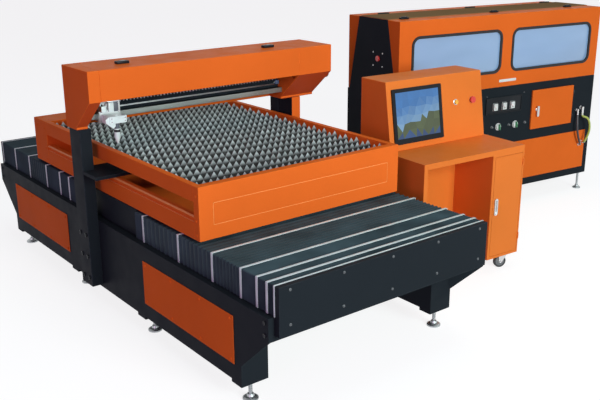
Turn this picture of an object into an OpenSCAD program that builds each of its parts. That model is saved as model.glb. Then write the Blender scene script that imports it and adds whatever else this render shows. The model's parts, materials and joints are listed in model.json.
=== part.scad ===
// Carbon dioxide laser cutting machine: a moving-table cutter under a fixed gantry,
// with its control console and the cabinet that holds the laser.
// X runs across the table, Y along its travel, Z up from the floor; millimetres.

/* [Base] */
// Width of the base over its side frames
base_w = 1276; // [1150:1:1600]
// Length of the base over its end beams
base_l = 2936; // [2500:1:3600]
// Height of the side frames' top, which carries the rails
frame_top = 485; // [440:1:580]
// Width of one side frame, seen from the end
side_frame_w = 139; // [110:1:170]
// Height of the legs' flat bottoms
leg_z = 91; // [70:1:120]
// Depth of a leg along the machine
leg_d = 75; // [50:1:110]
// Reach of the frame beyond each leg
overhang = 199; // [120:1:260]
// Height of the underside of the overhang
overhang_z = 380; // [330:1:410]
// Height where the gusset meets the leg
gusset_z = 194; // [150:1:260]
// Depth of an end beam along the machine
beam_d = 80; // [50:1:110]
// Length of a side panel
panel_l = 780; // [500:1:900]
// Height of a side panel
panel_h = 224; // [150:1:260]
// Thickness of a side panel
panel_t = 3; // [1:0.5:5]

/* [Table] */
// Inset of the table's side from the base's side
table_inset = 42; // [36:1:70]
// Length of the table
table_l = 1826; // [1500:1:2200]
// Height of the table's rim
table_top = 880; // [840:1:900]
// Height of the table's underside
table_z = 631; // [600:1:660]
// Height of the upper band at the table's sides
rim_h = 75; // [50:1:95]
// Height of the windows between the upper band and the tray
window_h = 63; // [50:1:75]
// Thickness of the table's front end
front_end_d = 45; // [30:1:80]
// Thickness of the table's rear end, a box
rear_end_d = 177; // [100:1:220]
// Thickness of the side walls
table_wall = 30; // [15:1:40]
// Rows of toothed slats
slat_rows = 18; // [10:1:24]
// Teeth along one slat
slat_teeth = 31; // [20:1:40]
// Depth of a slat's teeth
tooth_depth = 26; // [15:1:32]
// Thickness of a slat
slat_t = 3; // [2:0.5:5]
// Drop of the tooth tips below the rim
tip_drop = 3; // [1:1:8]

/* [Gantry] */
// Reach of the gantry's left end past its post
reach_left = 12; // [4:1:40]
// Reach of the gantry's right end past its post
reach_right = 95; // [60:1:140]
// Depth of the gantry housing
gantry_d = 299; // [260:1:360]
// Height of the gantry's top
gantry_top = 1290; // [1240:1:1400]
// Height of the front cover
cover_h = 153; // [100:1:180]
// Height of the end caps' lower edge
cap_z = 975; // [930:1:1000]
// Width of the left end cap
left_cap_w = 61; // [40:1:90]
// Width of the right end cap
right_cap_w = 235; // [160:1:300]
// Width of a post across the machine
post_w = 62; // [40:1:74]
// Depth of a post along the machine
post_d = 125; // [80:1:150]
// Height of a post's lower end
post_z = 125; // [100:1:200]
// Radius of the beam inlet in the right end cap
inlet_r = 15; // [10:1:18]

/* [Cutting head] */
// Height of the nozzle's tip
nozzle_z = 908; // [902:1:920]
// Module of the rack and its pinion
gear_module = 2; // [1.5:0.5:2]
// Teeth on the pinion
pinion_teeth = 20; // [18:1:24]

/* [Bellows] */
// Height of the bellows' top fold
bellows_top = 620; // [590:1:622]
// Inset of the bellows' side from the base's side
bellows_inset = 29; // [24:1:34]
// Depth of one pleat
pleat_d = 5; // [3:1:8]
// Pleats between two strips
pleats = 8; // [4:1:12]
// Width of a strip
strip_w = 12; // [8:1:20]
// Thickness of a strip
strip_t = 2; // [1:0.5:3]

/* [Console] */
// Width of the console's desk
desk_w = 760; // [650:1:900]
// Depth of the desk
desk_d = 600; // [540:1:700]
// Height of the desk
desk_z = 750; // [700:1:800]
// Width of the pedestal behind the door
pedestal_w = 250; // [220:1:320]
// Height of the console's screen housing above the desk
hood_h = 380; // [340:1:440]
// Lean of the screen housing's face from foot to top
hood_lean = 60; // [30:1:90]
// Wheel radius of a caster
caster_r = 37.5; // [30:0.5:40]

/* [Laser cabinet] */
// Length of the laser cabinet
cab_l = 1820; // [1600:1:2000]
// Depth of the laser cabinet
cab_d = 560; // [500:1:640]
// Height of the laser cabinet's roof
cab_top = 1370; // [1300:1:1450]
// Height of the cabinet's underside
cab_z = 130; // [100:1:160]
// Width of a window
window_w = 775; // [600:1:780]
// Height of a window
window_tall = 297; // [220:1:320]
// Corner radius of a window
window_r = 62; // [30:1:80]

/* [Hidden] */

orange = [0.93, 0.38, 0.12];
black = [0.13, 0.15, 0.17];
silver = [0.75, 0.76, 0.78];
white = [0.92, 0.92, 0.92];

// Clearances: between parts that slide past each other, under a screwed-on part, round a shaft
slide_gap = 0.3;
seat_gap = 0.1;
shaft_gap = 0.05;

// Base
base_x = base_w / 2;
base_y = base_l / 2;
table_w = base_w - 2 * table_inset;
bellows_w = base_w - 2 * bellows_inset;
inner_x = base_x - side_frame_w;
leg_y = base_y - overhang;
lower_rail_z = leg_z + 15;
panel_z = gusset_z - 10;
mid_foot_y = 392;
panel_y = (leg_y + mid_foot_y) / 2;
mid_pad_l = 80;
foot_x = base_x - side_frame_w / 2;
tie_y = leg_y - leg_d / 2 - 40;
tie_h = 80;

// End covers and bellows
cover_d = 34;
cover_t = 4;
cover_z = 405;
bolt_r = 7;
bolt_h = 4;
bolt_pitch = (bellows_w - 110) / 4;
saddle_l = 660;
bellows_z = frame_top + 1;
bellows_t = 3;
bellows_start = saddle_l / 2 + 1;
bellows_l = base_y - bellows_start;
// Places of the strips between the saddle (0) and the end cover (1) when the table is centred
front_strips = [0.07, 0.36, 0.61, 0.80, 0.90, 0.96];
rear_strips = [0.10, 0.21, 0.38, 0.61, 0.81];

// Rails and screw under the table
rail_x = base_x - 78;
rail_w = 34;
rail_h = 30;
rail_waist = 5;
block_w = 56;
block_l = 120;
saddle_t = 30;
skirt_t = 10;
screw_z = frame_top + 60;
screw_r = 20;
screw_block_w = 100;
screw_block_d = 50;

// Table
window_z = table_top - rim_h - window_h;
table_y = table_l / 2;
bed_front = -table_y + front_end_d;
bed_rear = table_y - rear_end_d;
ledge_w = 20;
ledge_t = 8;
tray_floor = 14;
tip_z = table_top - tip_drop;

// Gantry
gantry_left = -base_x - post_w - reach_left;
gantry_right = base_x + post_w + reach_right;
gantry_front = -142;
gantry_back = gantry_front + gantry_d;
cover_bottom = gantry_top - cover_h;
post_y = 30;
lip_z = cap_z + 13;
sheet_t = 4;
mech_left = gantry_left + left_cap_w;
mech_right = gantry_right - right_cap_w;
beam_y = 62;
duct_z = 745;
duct_t = 17;
duct_front = -120;
duct_rear = 110;

// Cutting head
head_x = mech_left + 100;
head_y = -85;
pinion_r = gear_module * pinion_teeth / 2;
pinion_z = 1090;
rack_line = pinion_z + pinion_r;
rack_y = 34;
rack_w = 24;
low_rail_z = 1018;
high_rail_z = 1170;
bar_h = 28;
bar_d = 40;
plate_y = -14;
plate_t = 12;
plate_w = 116;
mirror_z = 1125;

// Console
console_at = [base_x + 875, 465 - base_y];
console_turn = -4;
panel_edge = 25;
desk_t = 30;
caster_h = 99;
knee_y = 295;
hood_front = 300;
hood_back = 570;
hood_inset = 20;
door_gap = 2;
door_hinge = [-9, -5];
door_hinge_z = [205, 655];
hood_angle = atan(hood_lean / hood_h);
caster_in = 55;
caster_trail = 22;
caster_w = 22;
plate_h = 4;
fork_top = 86;
fork_t = 3;
axle_r = 4;

// Laser cabinet
cabinet_at = [base_x + cab_l + 745, -310];
cabinet_turn = -7;
cab_wall = 25;
end_t = 4;
end_x = -cab_l - seat_gap - end_t;
band_z = 469;
band_top = 877;
skirt_z = 184;
lid_front = 129;
lid_back = 431;
window_x = [-cab_l + 97.5 + window_w / 2, -84.5 - window_w / 2];
window_bottom = 975;
gasket_w = 18;
lid_hinge_x = [-cab_l + 199, -cab_l / 2 + 54, -113];
lid_latch_x = [-cab_l + 119, -cab_l / 2 - 23, -226];
cab_door_x = -634;
cab_door_w = 412;
cab_door_z = 543;
cab_door_h = 280;
cab_door_t = 14;
lower_panel_t = 3;
cab_hinge_x = cab_door_x + cab_door_w + 6;
cab_hinge_z = [600, 772];
// Instrument plate, its meters, and the switches and knobs below it
plate_d = 5;
meter_x = [-981, -898, -822];
switch_x = [-937, -776];
switch_z = 598;
lamp_x = [-998, -838, -684];
// Way out of the beam in the left end
aperture = [218, 1117];

// The whole plant stands centred on the floor origin
plant_right = cabinet_at[0] + cab_d * sin(-cabinet_turn);
plant_x = (gantry_left + plant_right) / 2;

// ---- Helpers ----

// A block between three pairs of limits
module block(x, y, z) {
  translate([x[0], y[0], z[0]]) cube([x[1] - x[0], y[1] - y[0], z[1] - z[0]]);
}

// The children and their mirror image across the machine
module both_sides() {
  children();
  mirror([1, 0, 0]) children();
}

// The children and their mirror image along the machine
module both_ends() {
  children();
  mirror([0, 1, 0]) children();
}

// A YZ outline drawn along X between two limits
module along_x(x) {
  translate([x[0], 0, 0]) rotate([90, 0, 90]) linear_extrude(x[1] - x[0]) children();
}

// An XZ outline drawn along Y between two limits
module along_y(y) {
  translate([0, y[1], 0]) rotate([90, 0, 0]) linear_extrude(y[1] - y[0]) children();
}

// A rounded rectangle centred on the origin
module rounded(w, h, r) {
  square([w - 2 * r, h], center = true);
  square([w, h - 2 * r], center = true);
  for (x = [-1, 1], y = [-1, 1]) translate([x * (w / 2 - r), y * (h / 2 - r)]) circle(r, $fn = 48);
}

// A round bar along Y
module bar_y(r, y) {
  translate([0, y[1], 0]) rotate([90, 0, 0]) cylinder(r = r, h = y[1] - y[0], $fn = 48);
}

// A round bar along X
module bar_x(r, x) {
  translate([x[0], 0, 0]) rotate([0, 90, 0]) cylinder(r = r, h = x[1] - x[0], $fn = 48);
}

module in_plant() {
  translate([-plant_x, 0, 0]) children();
}

module in_console() {
  in_plant() translate(console_at) rotate([0, 0, console_turn]) children();
}

module in_cabinet() {
  in_plant() translate(cabinet_at) rotate([0, 0, cabinet_turn]) children();
}

// ---- Base ----

// One side frame seen from the side: top rail, overhangs with their gussets, legs, lower rail
module side_outline() {
  half = [
    [0, frame_top], [base_y, frame_top], [base_y, overhang_z], [leg_y, gusset_z],
    [leg_y, leg_z], [leg_y - leg_d, leg_z], [leg_y - leg_d, lower_rail_z],
    [mid_foot_y + mid_pad_l / 2, lower_rail_z], [mid_foot_y + mid_pad_l / 2, leg_z],
    [mid_foot_y - mid_pad_l / 2, leg_z], [mid_foot_y - mid_pad_l / 2, lower_rail_z]
  ];
  polygon(concat(half, [for (i = [len(half) - 1:-1:1]) [-half[i][0], half[i][1]]]));
}

module base_frame() {
  color(black) in_plant() {
    both_sides() along_x([inner_x, base_x]) side_outline();
    both_ends() {
      block([-inner_x, inner_x], [base_y - beam_d, base_y], [overhang_z, frame_top]);
      block([-inner_x, inner_x], [tie_y - tie_h / 2, tie_y + tie_h / 2], [frame_top - tie_h, frame_top]);
    }
  }
}

module base_panels() {
  color(orange) in_plant() both_sides() both_ends()
    block([base_x, base_x + panel_t], [panel_y - panel_l / 2, panel_y + panel_l / 2],
          [panel_z, panel_z + panel_h]);
}

// A levelling foot: bell-shaped pad, threaded rod and lock nut under the given height
module levelling_foot(top, pad_r) {
  rotate_extrude($fn = 48) polygon([
    [0, 0], [pad_r, 0], [pad_r, 7], [pad_r * 0.8, 12], [pad_r * 0.5, 16], [pad_r * 0.4, 26],
    [8, 28], [8, top], [0, top]
  ]);
  translate([0, 0, top - 12]) cylinder(r = 15, h = 12, $fn = 6);
}

module base_feet() {
  color(silver) in_plant() for (x = [-1, 1], y = [-1, 1]) {
    translate([x * foot_x, y * (leg_y - leg_d / 2), 0]) levelling_foot(leg_z, 35);
    translate([x * foot_x, y * mid_foot_y, 0]) levelling_foot(leg_z, 35);
  }
}

// Folded cover on the end beam that closes the bellows, open towards the machine
module end_cover() {
  difference() {
    block([-bellows_w / 2, bellows_w / 2], [base_y, base_y + cover_d], [cover_z, bellows_top]);
    block([-bellows_w / 2 + cover_t, bellows_w / 2 - cover_t], [base_y - 1, base_y + cover_d - cover_t],
          [cover_z + cover_t, bellows_top - cover_t]);
  }
}

module end_covers() {
  color(black) in_plant() both_ends() end_cover();
}

module cover_bolts() {
  color(silver) in_plant() both_ends() for (i = [-2:2], z = [cover_z + 45, bellows_top - 20])
    translate([i * bolt_pitch, 0, z]) bar_y(bolt_r, [base_y + cover_d, base_y + cover_d + bolt_h]);
}

// Linear rail section with its waist, standing on z = 0
module rail_section() {
  polygon([
    [-rail_w / 2, 0], [rail_w / 2, 0], [rail_w / 2, rail_h * 0.4], [rail_w / 2 - rail_waist, rail_h * 0.55],
    [rail_w / 2 - rail_waist, rail_h * 0.7], [rail_w / 2, rail_h * 0.82], [rail_w / 2, rail_h],
    [-rail_w / 2, rail_h], [-rail_w / 2, rail_h * 0.82], [-rail_w / 2 + rail_waist, rail_h * 0.7],
    [-rail_w / 2 + rail_waist, rail_h * 0.55], [-rail_w / 2, rail_h * 0.4]
  ]);
}

module table_rails() {
  color(silver) in_plant() both_sides()
    along_y([-base_y + 28, base_y - 28]) translate([rail_x, frame_top]) rail_section();
}

// Turning screw with the coupling to its motor at the rear
module ball_screw() {
  color(silver) in_plant() translate([0, 0, screw_z]) {
    bar_y(screw_r, [-tie_y - 40, tie_y + 60]);
    bar_y(screw_r + 9, [tie_y + 55, tie_y + 105]);
  }
}

// The screw's two bearing blocks on the tie beams, and the motor on the rear end beam
module screw_drive() {
  motor_w = 110;
  motor_y = tie_y + 106;
  color(black) in_plant() {
    both_ends() difference() {
      block([-screw_block_w / 2, screw_block_w / 2], [tie_y - screw_block_d / 2, tie_y + screw_block_d / 2],
            [frame_top, screw_z + 45]);
      translate([0, 0, screw_z]) bar_y(screw_r + shaft_gap, [tie_y - screw_block_d, tie_y + screw_block_d]);
    }
    block([-motor_w / 2, motor_w / 2], [motor_y, base_y - 20],
          [screw_z - motor_w / 2, screw_z + motor_w / 2]);
    block([-motor_w / 2, motor_w / 2], [base_y - beam_d, base_y - 20], [frame_top, screw_z - motor_w / 2]);
  }
}

// ---- Bellows ----

// Places of the strips' centres between the saddle's end and the end cover
function strip_places(shares) = [for (s = shares) bellows_start + s * bellows_l];

// Crest and fold points from one flat land to the next; level 0 is the crest
function pleat_run(from, to) = [
  for (i = [0:pleats - 1], half = [0, 1])
    [from + (to - from) * (i + (half + 1) / 2) / pleats, half == 0 ? -pleat_d : 0]
];

// The pleated line from the saddle to the end cover, with a flat land under each strip
function pleated_line(places) = concat(
  [[bellows_start, 0]],
  [for (i = [0:len(places)])
    each concat(
      pleat_run(i == 0 ? bellows_start : places[i - 1] + strip_w / 2,
                i == len(places) ? base_y - strip_w : places[i] - strip_w / 2),
      i == len(places) ? [[base_y, 0]] : [[places[i] + strip_w / 2, 0]])]
);

// The U-shaped cover is the meeting of its pleated top and its pleated sides, hollow inside
module bellows_cover(places) {
  line = pleated_line(places);
  depth = pleat_d + bellows_t;
  difference() {
    intersection() {
      along_x([-bellows_w / 2, bellows_w / 2])
        polygon(concat([for (p = line) [p[0], bellows_top + p[1]]],
                       [[base_y, bellows_z], [bellows_start, bellows_z]]));
      translate([0, 0, bellows_z]) linear_extrude(bellows_top - bellows_z)
        polygon(concat([for (p = line) [bellows_w / 2 + p[1], p[0]]],
                       [for (i = [len(line) - 1:-1:0]) [-bellows_w / 2 - line[i][1], line[i][0]]]));
    }
    block([-bellows_w / 2 + depth, bellows_w / 2 - depth], [bellows_start - 1, base_y + 1],
          [bellows_z - 1, bellows_top - depth]);
  }
}

// Stiffening strip folded over the top and down both sides
module strip(place) {
  difference() {
    block([-bellows_w / 2 - strip_t, bellows_w / 2 + strip_t], [place - strip_w / 2, place + strip_w / 2],
          [bellows_z, bellows_top + strip_t]);
    block([-bellows_w / 2, bellows_w / 2], [place - strip_w, place + strip_w], [bellows_z - 1, bellows_top]);
  }
}

module bellows_front() {
  in_plant() mirror([0, 1, 0]) {
    color(black) bellows_cover(strip_places(front_strips));
    color(white) for (place = strip_places(front_strips)) strip(place);
  }
}

module bellows_rear() {
  in_plant() {
    color(black) bellows_cover(strip_places(rear_strips));
    color(white) for (place = strip_places(rear_strips)) strip(place);
  }
}

// ---- Gantry ----

// Fume slot under the cutting line, tied to the fronts and inner faces of both posts
module cross_duct() {
  color(black) in_plant() translate([0, 0, duct_z]) linear_extrude(duct_t) polygon([
    [-base_x - post_w, duct_front], [base_x + post_w, duct_front], [base_x + post_w, post_y],
    [base_x, post_y], [base_x, duct_rear], [-base_x, duct_rear], [-base_x, post_y],
    [-base_x - post_w, post_y]
  ]);
}

module posts() {
  color(black) in_plant() both_sides()
    block([base_x, base_x + post_w], [post_y, post_y + post_d], [post_z, cap_z]);
}

// Box beam behind the mechanism
module gantry_beam() {
  color(black) in_plant()
    block([mech_left, mech_right], [beam_y, gantry_back - sheet_t], [low_rail_z, gantry_top - sheet_t]);
}

// Folded cover: front, top and back sheets with a return at the front's lower edge
module gantry_cover() {
  top = gantry_top;
  y0 = gantry_front;
  y1 = gantry_back;
  color(orange) in_plant() along_x([mech_left, mech_right]) polygon([
    [y0, cover_bottom], [y0, top], [y1, top], [y1, cap_z], [y1 - sheet_t, cap_z],
    [y1 - sheet_t, top - sheet_t], [y0 + sheet_t, top - sheet_t], [y0 + sheet_t, cover_bottom + sheet_t],
    [y0 + 16, cover_bottom + sheet_t], [y0 + 16, cover_bottom]
  ]);
}

// Two flush latches on top of the cover
module cover_latches() {
  color(black) in_plant() for (x = [-463, 438])
    translate([x, -10, gantry_top]) {
      linear_extrude(2) rounded(90, 34, 6);
      translate([20, 0, 2]) linear_extrude(4) rounded(40, 18, 4);
    }
}

// End outline of the gantry housing with its slanted front corner
module cap_outline() {
  polygon([
    [gantry_front, gantry_top], [gantry_front, cover_bottom], [post_y + 3, lip_z], [post_y + 3, cap_z],
    [gantry_back, cap_z], [gantry_back, gantry_top]
  ]);
}

module gantry_cap_left() {
  color(orange) in_plant() along_x([gantry_left, mech_left]) cap_outline();
}

// The right cap is wider and takes the beam from the laser through a bore
module gantry_cap_right() {
  color(orange) in_plant() difference() {
    along_x([mech_right, gantry_right]) cap_outline();
    translate([0, head_y, mirror_z]) bar_x(inlet_r, [mech_right - 1, gantry_right + 1]);
  }
}

// Two square bars on the beam's face; the lower one shows under the cover
module guide_rails() {
  color(silver) in_plant() for (z = [low_rail_z, high_rail_z])
    block([mech_left, mech_right], [beam_y - bar_d, beam_y], [z, z + bar_h]);
}

// Involute of the pinion's base circle, and the flank angle at a radius
pressure_angle = 20;
base_r = pinion_r * cos(pressure_angle);
function involute_turn(r) = r <= base_r ? 0
  : (sqrt(r * r - base_r * base_r) / base_r) * 180 / PI - acos(base_r / r);

// One side of a tooth, from root to tip, as half-angles from the tooth's centre line
tooth_backlash = 0.3;
half_tooth = 90 / pinion_teeth - tooth_backlash / pinion_r * 90 / PI;
flank_radii = [for (i = [0:4]) pinion_r - gear_module * 1.2 + i * gear_module * 2.15 / 4];
function flank_angle(r) = half_tooth + involute_turn(pinion_r) - involute_turn(r);

module pinion_outline() {
  polygon([
    for (t = [0:pinion_teeth - 1]) each concat(
      [for (r = flank_radii) let (a = t * 360 / pinion_teeth - flank_angle(r)) [r * sin(a), r * cos(a)]],
      [for (i = [4:-1:0]) let (r = flank_radii[i], a = t * 360 / pinion_teeth + flank_angle(r))
        [r * sin(a), r * cos(a)]])
  ]);
}

// Rack with straight-sided teeth hanging from its bar; one tooth gap faces the pinion's top tooth
module rack_outline() {
  pitch = PI * gear_module;
  first = ceil((mech_left + 4 - head_x) / pitch);
  last = floor((mech_right - 4 - head_x) / pitch) - 1;
  tip = rack_line - gear_module * 0.9;
  root = rack_line + gear_module * 1.2;
  slope = tan(pressure_angle);
  half = pitch / 4 - tooth_backlash / 2;
  polygon(concat(
    [[head_x + first * pitch, rack_line + 25], [head_x + first * pitch, root]],
    [for (i = [first:last], c = [head_x + (i + 0.5) * pitch]) each [
      [c - half - (root - rack_line) * slope, root], [c - half + (rack_line - tip) * slope, tip],
      [c + half - (rack_line - tip) * slope, tip], [c + half + (root - rack_line) * slope, root]]],
    [[head_x + (last + 1) * pitch, root], [head_x + (last + 1) * pitch, rack_line + 25]]
  ));
}

module gear_rack() {
  color(silver) in_plant() {
    along_y([rack_y, rack_y + rack_w]) rack_outline();
    block([mech_left, mech_right], [rack_y + rack_w, beam_y], [rack_line + 5, rack_line + 25]);
  }
}

// ---- Cutting head ----

// Carriage plate with two runner blocks on the bars, motor, mirror box and junction box
module head_carriage() {
  x0 = head_x - plate_w / 2;
  back = plate_y + plate_t;
  color(silver) in_plant() {
    difference() {
      union() {
        block([x0, x0 + plate_w], [plate_y, back], [low_rail_z - 12, high_rail_z + bar_h + 12]);
        for (z = [low_rail_z, high_rail_z])
          block([x0 + 8, x0 + plate_w - 8], [back, beam_y - 12], [z - 10, z + bar_h + 8]);
      }
      for (z = [low_rail_z, high_rail_z])
        block([x0 - 1, x0 + plate_w + 1], [beam_y - bar_d - slide_gap, beam_y + 1],
              [z - slide_gap, z + bar_h + slide_gap]);
      translate([head_x, 0, pinion_z]) bar_y(8 + shaft_gap, [plate_y - 1, back + 1]);
    }
    difference() {
      translate([head_x, 0, pinion_z]) bar_y(26, [plate_y - 44, plate_y]);
      translate([head_x, 0, pinion_z]) bar_y(8 + shaft_gap, [plate_y - 6, plate_y + 1]);
    }
    block([x0 - 4, x0 + 20], [plate_y - 42, plate_y], [1067, 1095]);
  }
}

module head_pinion() {
  color(silver) in_plant() {
    along_y([rack_y, rack_y + rack_w - 2]) translate([head_x, pinion_z]) pinion_outline();
    translate([head_x, 0, pinion_z]) bar_y(8, [plate_y - 5, rack_y]);
  }
}

// Focus slide: lens block that moves up and down on the carriage plate
module focus_slide() {
  color(white) in_plant() {
    difference() {
      block([head_x - 46, head_x + 46], [head_y - 24, plate_y - slide_gap], [1014, 1050]);
      translate([head_x, head_y, 1013]) cylinder(r = 9, h = 38, $fn = 48);
    }
    along_y([head_y - 18, head_y + 18]) polygon([
      [head_x - 46, 1050], [head_x - 66, 1038], [head_x - 66, 1020], [head_x - 26, 988],
      [head_x - 14, 1000], [head_x - 14, 1014], [head_x - 46, 1014]
    ]);
  }
}

// Lens tube and copper tip, bored for the beam
module cutting_nozzle() {
  color(white) in_plant() translate([head_x, head_y, 0]) rotate_extrude($fn = 48) polygon([
    [7, 1014], [13, 1014], [13, 985], [15, 985], [15, nozzle_z + 32], [5, nozzle_z + 4], [3, nozzle_z],
    [1.5, nozzle_z], [7, nozzle_z + 30]
  ]);
}

// ---- Table ----

module table_front() {
  groove = 3;
  color(orange) in_plant() difference() {
    block([-table_w / 2, table_w / 2], [-table_y, bed_front], [table_z, table_top]);
    translate([0, -table_y + 1.5, table_z + 116]) rotate([90, 0, 0]) linear_extrude(3) difference() {
      rounded(table_w - 146, 104, 6);
      rounded(table_w - 146 - 2 * groove, 104 - 2 * groove, 4);
    }
  }
}

module table_rear() {
  color(orange) in_plant() block([-table_w / 2, table_w / 2], [bed_rear, table_y], [table_z, table_top]);
}

// The upper band with the ledge that carries the slats' ends
module table_rims() {
  x = table_w / 2;
  z = table_top - rim_h;
  color(orange) in_plant() both_sides() along_y([bed_front, bed_rear]) polygon([
    [x, z], [x, table_top], [x - table_wall, table_top], [x - table_wall, z + ledge_t],
    [x - table_wall - ledge_w, z + ledge_t], [x - table_wall - ledge_w, z]
  ]);
}

// Scrap tray under the windows: a channel whose side walls have a pressed groove
module table_tray() {
  x = table_w / 2;
  half = [
    [x, table_z], [x, window_z - 28], [x - 6, window_z - 28], [x - 6, window_z - 12],
    [x, window_z - 12], [x, window_z - 6], [x - 6, window_z], [x - table_wall, window_z],
    [x - table_wall, table_z + tray_floor]
  ];
  color(orange) in_plant() along_y([bed_front, bed_rear])
    polygon(concat(half, [for (i = [len(half) - 1:-1:0]) [-half[i][0], half[i][1]]]));
}

// One slat: a thin blade whose upper edge is a row of pointed teeth
module slat_outline() {
  w = table_w - 2 * table_wall - 1;
  pitch = w / slat_teeth;
  polygon(concat(
    [[-w / 2, table_top - rim_h + ledge_t], [-w / 2, tip_z - tooth_depth]],
    [for (i = [0:slat_teeth - 1]) each [
      [-w / 2 + (i + 0.5) * pitch, tip_z], [-w / 2 + (i + 1) * pitch, tip_z - tooth_depth]]],
    [[w / 2, table_top - rim_h + ledge_t]]
  ));
}

module slat_bed() {
  spacing = (bed_rear - bed_front) / slat_rows;
  color(silver) in_plant() for (i = [0:slat_rows - 1])
    let (y = bed_front + (i + 0.5) * spacing) along_y([y - slat_t / 2, y + slat_t / 2]) slat_outline();
}

// Moving saddle: deck, side skirts, runner blocks on the rails and the screw's nut
module saddle() {
  x = table_w / 2 + 4;
  y = saddle_l / 2;
  color(black) in_plant() {
    difference() {
      union() {
        block([-x, x], [-y, y], [table_z - saddle_t, table_z]);
        both_sides() {
          block([x - skirt_t, x], [-y, y], [frame_top + 7, table_z - saddle_t]);
          both_ends() block([rail_x - block_w / 2, x - skirt_t], [y - 20 - block_l, y - 20],
                            [frame_top + 8, table_z - saddle_t]);
        }
        block([-60, 60], [-45, 45], [screw_z - 45, table_z - saddle_t]);
      }
      both_sides() block([rail_x - rail_w / 2 - slide_gap, rail_x + rail_w / 2 + slide_gap],
                         [-y - 1, y + 1], [frame_top, frame_top + rail_h + slide_gap]);
      translate([0, 0, screw_z]) bar_y(screw_r + shaft_gap, [-46, 46]);
    }
  }
}

// ---- Console ----

// Sheet-metal desk: left side panel, knee-space back, pedestal with a door opening, caster plates
module console_shell() {
  top = desk_z - desk_t;
  color(orange) in_console() {
    block([-desk_w, 0], [0, desk_d], [top, desk_z]);
    block([-desk_w, -desk_w + panel_edge], [0, desk_d], [caster_h, top]);
    block([-desk_w + panel_edge, -pedestal_w], [knee_y, knee_y + 15], [caster_h, top]);
    difference() {
      block([-pedestal_w, 0], [0, desk_d], [caster_h, top]);
      block([-pedestal_w + 18, -10], [18, desk_d - 12], [caster_h + 15, top - 12]);
      block([-pedestal_w + 18, -10], [-1, 19], [caster_h + 15, top - 12]);
    }
  }
  color(silver) in_console() {
    for (p = caster_places) translate([p[0], p[1], caster_h - plate_h])
      linear_extrude(plate_h) rounded(60, 60, 6);
    for (z = door_hinge_z) {
      translate([door_hinge[0], door_hinge[1], z]) cylinder(r = 4.5, h = 36, center = true, $fn = 32);
      block([door_hinge[0], -2], [door_hinge[1], 0], [z - 18, z + 18]);
    }
  }
}

// Leaning housing of the screen, with round pockets for the two push buttons
module console_hood() {
  color(orange) in_console() difference() {
    along_x([-desk_w + hood_inset, -hood_inset]) polygon([
      [hood_front, desk_z], [hood_front + hood_lean, desk_z + hood_h], [hood_back, desk_z + hood_h],
      [hood_back, desk_z]
    ]);
    for (b = [amber_at, red_at]) on_hood(b[0], b[1])
      translate([0, 0, -8]) cylinder(r = b[2], h = 9, $fn = 48);
  }
  color(silver) in_console() for (b = [amber_at, red_at]) on_hood(b[0], b[1]) difference() {
    cylinder(r = b[2] + 4, h = 3, $fn = 48);
    translate([0, 0, -1]) cylinder(r = b[2], h = 5, $fn = 48);
  }
}

// Across, height and pocket radius of each button on the housing's face
amber_at = [-235, 968, 12];
red_at = [-107, 968, 12];

// Stands the children on the leaning face, their Z pointing out of it
module on_hood(x, z) {
  translate([x, hood_front + (z - desk_z) * hood_lean / hood_h, z])
    rotate([90 - hood_angle, 0, 0]) children();
}

// Screen: a bezel with the display set back in it
module monitor() {
  in_console() on_hood(-528, 935) translate([0, 0, seat_gap]) {
    color(black) difference() {
      linear_extrude(9) rounded(361, 307, 6);
      translate([0, 4, 5]) linear_extrude(5) square([317, 257], center = true);
    }
    color("steelblue") translate([0, 4, 5]) linear_extrude(2) square([316, 256], center = true);
  }
}

module console_computer() {
  color(black) in_console() block([-215, -35], [130, 560], [caster_h + 15, caster_h + 440]);
}

// Inset door of the pedestal, hinged at the right, with its two hinge leaves
module console_door() {
  color(orange) in_console() {
    block([-pedestal_w + 18 + door_gap, -10 - door_gap], [0, 16],
          [caster_h + 15 + door_gap, desk_z - desk_t - 12 - door_gap]);
    for (z = door_hinge_z) block([-32, door_hinge[0] - 3.7], [-2, 0], [z - 18, z + 18]);
  }
}

module console_handle() {
  color(silver) in_console() translate([-pedestal_w + 42, 0, 416]) rotate([90, 0, 0]) difference() {
    linear_extrude(7) rounded(26, 100, 12.5);
    translate([0, 0, 2]) linear_extrude(6) rounded(16, 76, 7.5);
  }
}

module push_button(b, out, cap_r, cap_h) {
  in_console() on_hood(b[0], b[1]) {
    translate([0, 0, -3]) cylinder(r = b[2] - slide_gap, h = out + 3, $fn = 48);
    translate([0, 0, out]) cylinder(r = cap_r, h = cap_h, $fn = 48);
  }
}

module amber_button() {
  color("gold") push_button(amber_at, 9, 13, 3);
}

module red_button() {
  color("red") push_button(red_at, 9, 19, 8);
}

// Places of the casters and the way each trails
caster_places = [
  [-caster_in, caster_in, 160], [-caster_in, desk_d - caster_in, 200],
  [-desk_w + caster_in - 22, caster_in, 20], [-desk_w + caster_in - 22, desk_d - caster_in, 340]
];

module at_caster(i) {
  in_console() translate([caster_places[i][0], caster_places[i][1], 0])
    rotate([0, 0, caster_places[i][2]]) children();
}

// Swivel fork with its axle
module caster_fork(i) {
  cheek = caster_w / 2 + 1;
  color(silver) at_caster(i) {
    translate([0, 0, fork_top]) cylinder(r = 24, h = caster_h - plate_h - slide_gap - fork_top, $fn = 48);
    block([-24, 34], [-cheek - fork_t, cheek + fork_t], [fork_top - fork_t - 1, fork_top]);
    for (s = [-1, 1]) translate([0, (s * (2 * cheek + fork_t) + fork_t) / 2, 0]) rotate([90, 0, 0])
      linear_extrude(fork_t) polygon([
        [-18, fork_top - 4], [34, fork_top - 4],
        [caster_trail + 9, caster_r - 6], [caster_trail - 9, caster_r - 6]
      ]);
    translate([caster_trail, 0, caster_r]) bar_y(axle_r, [-cheek - fork_t, cheek + fork_t]);
  }
}

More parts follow.
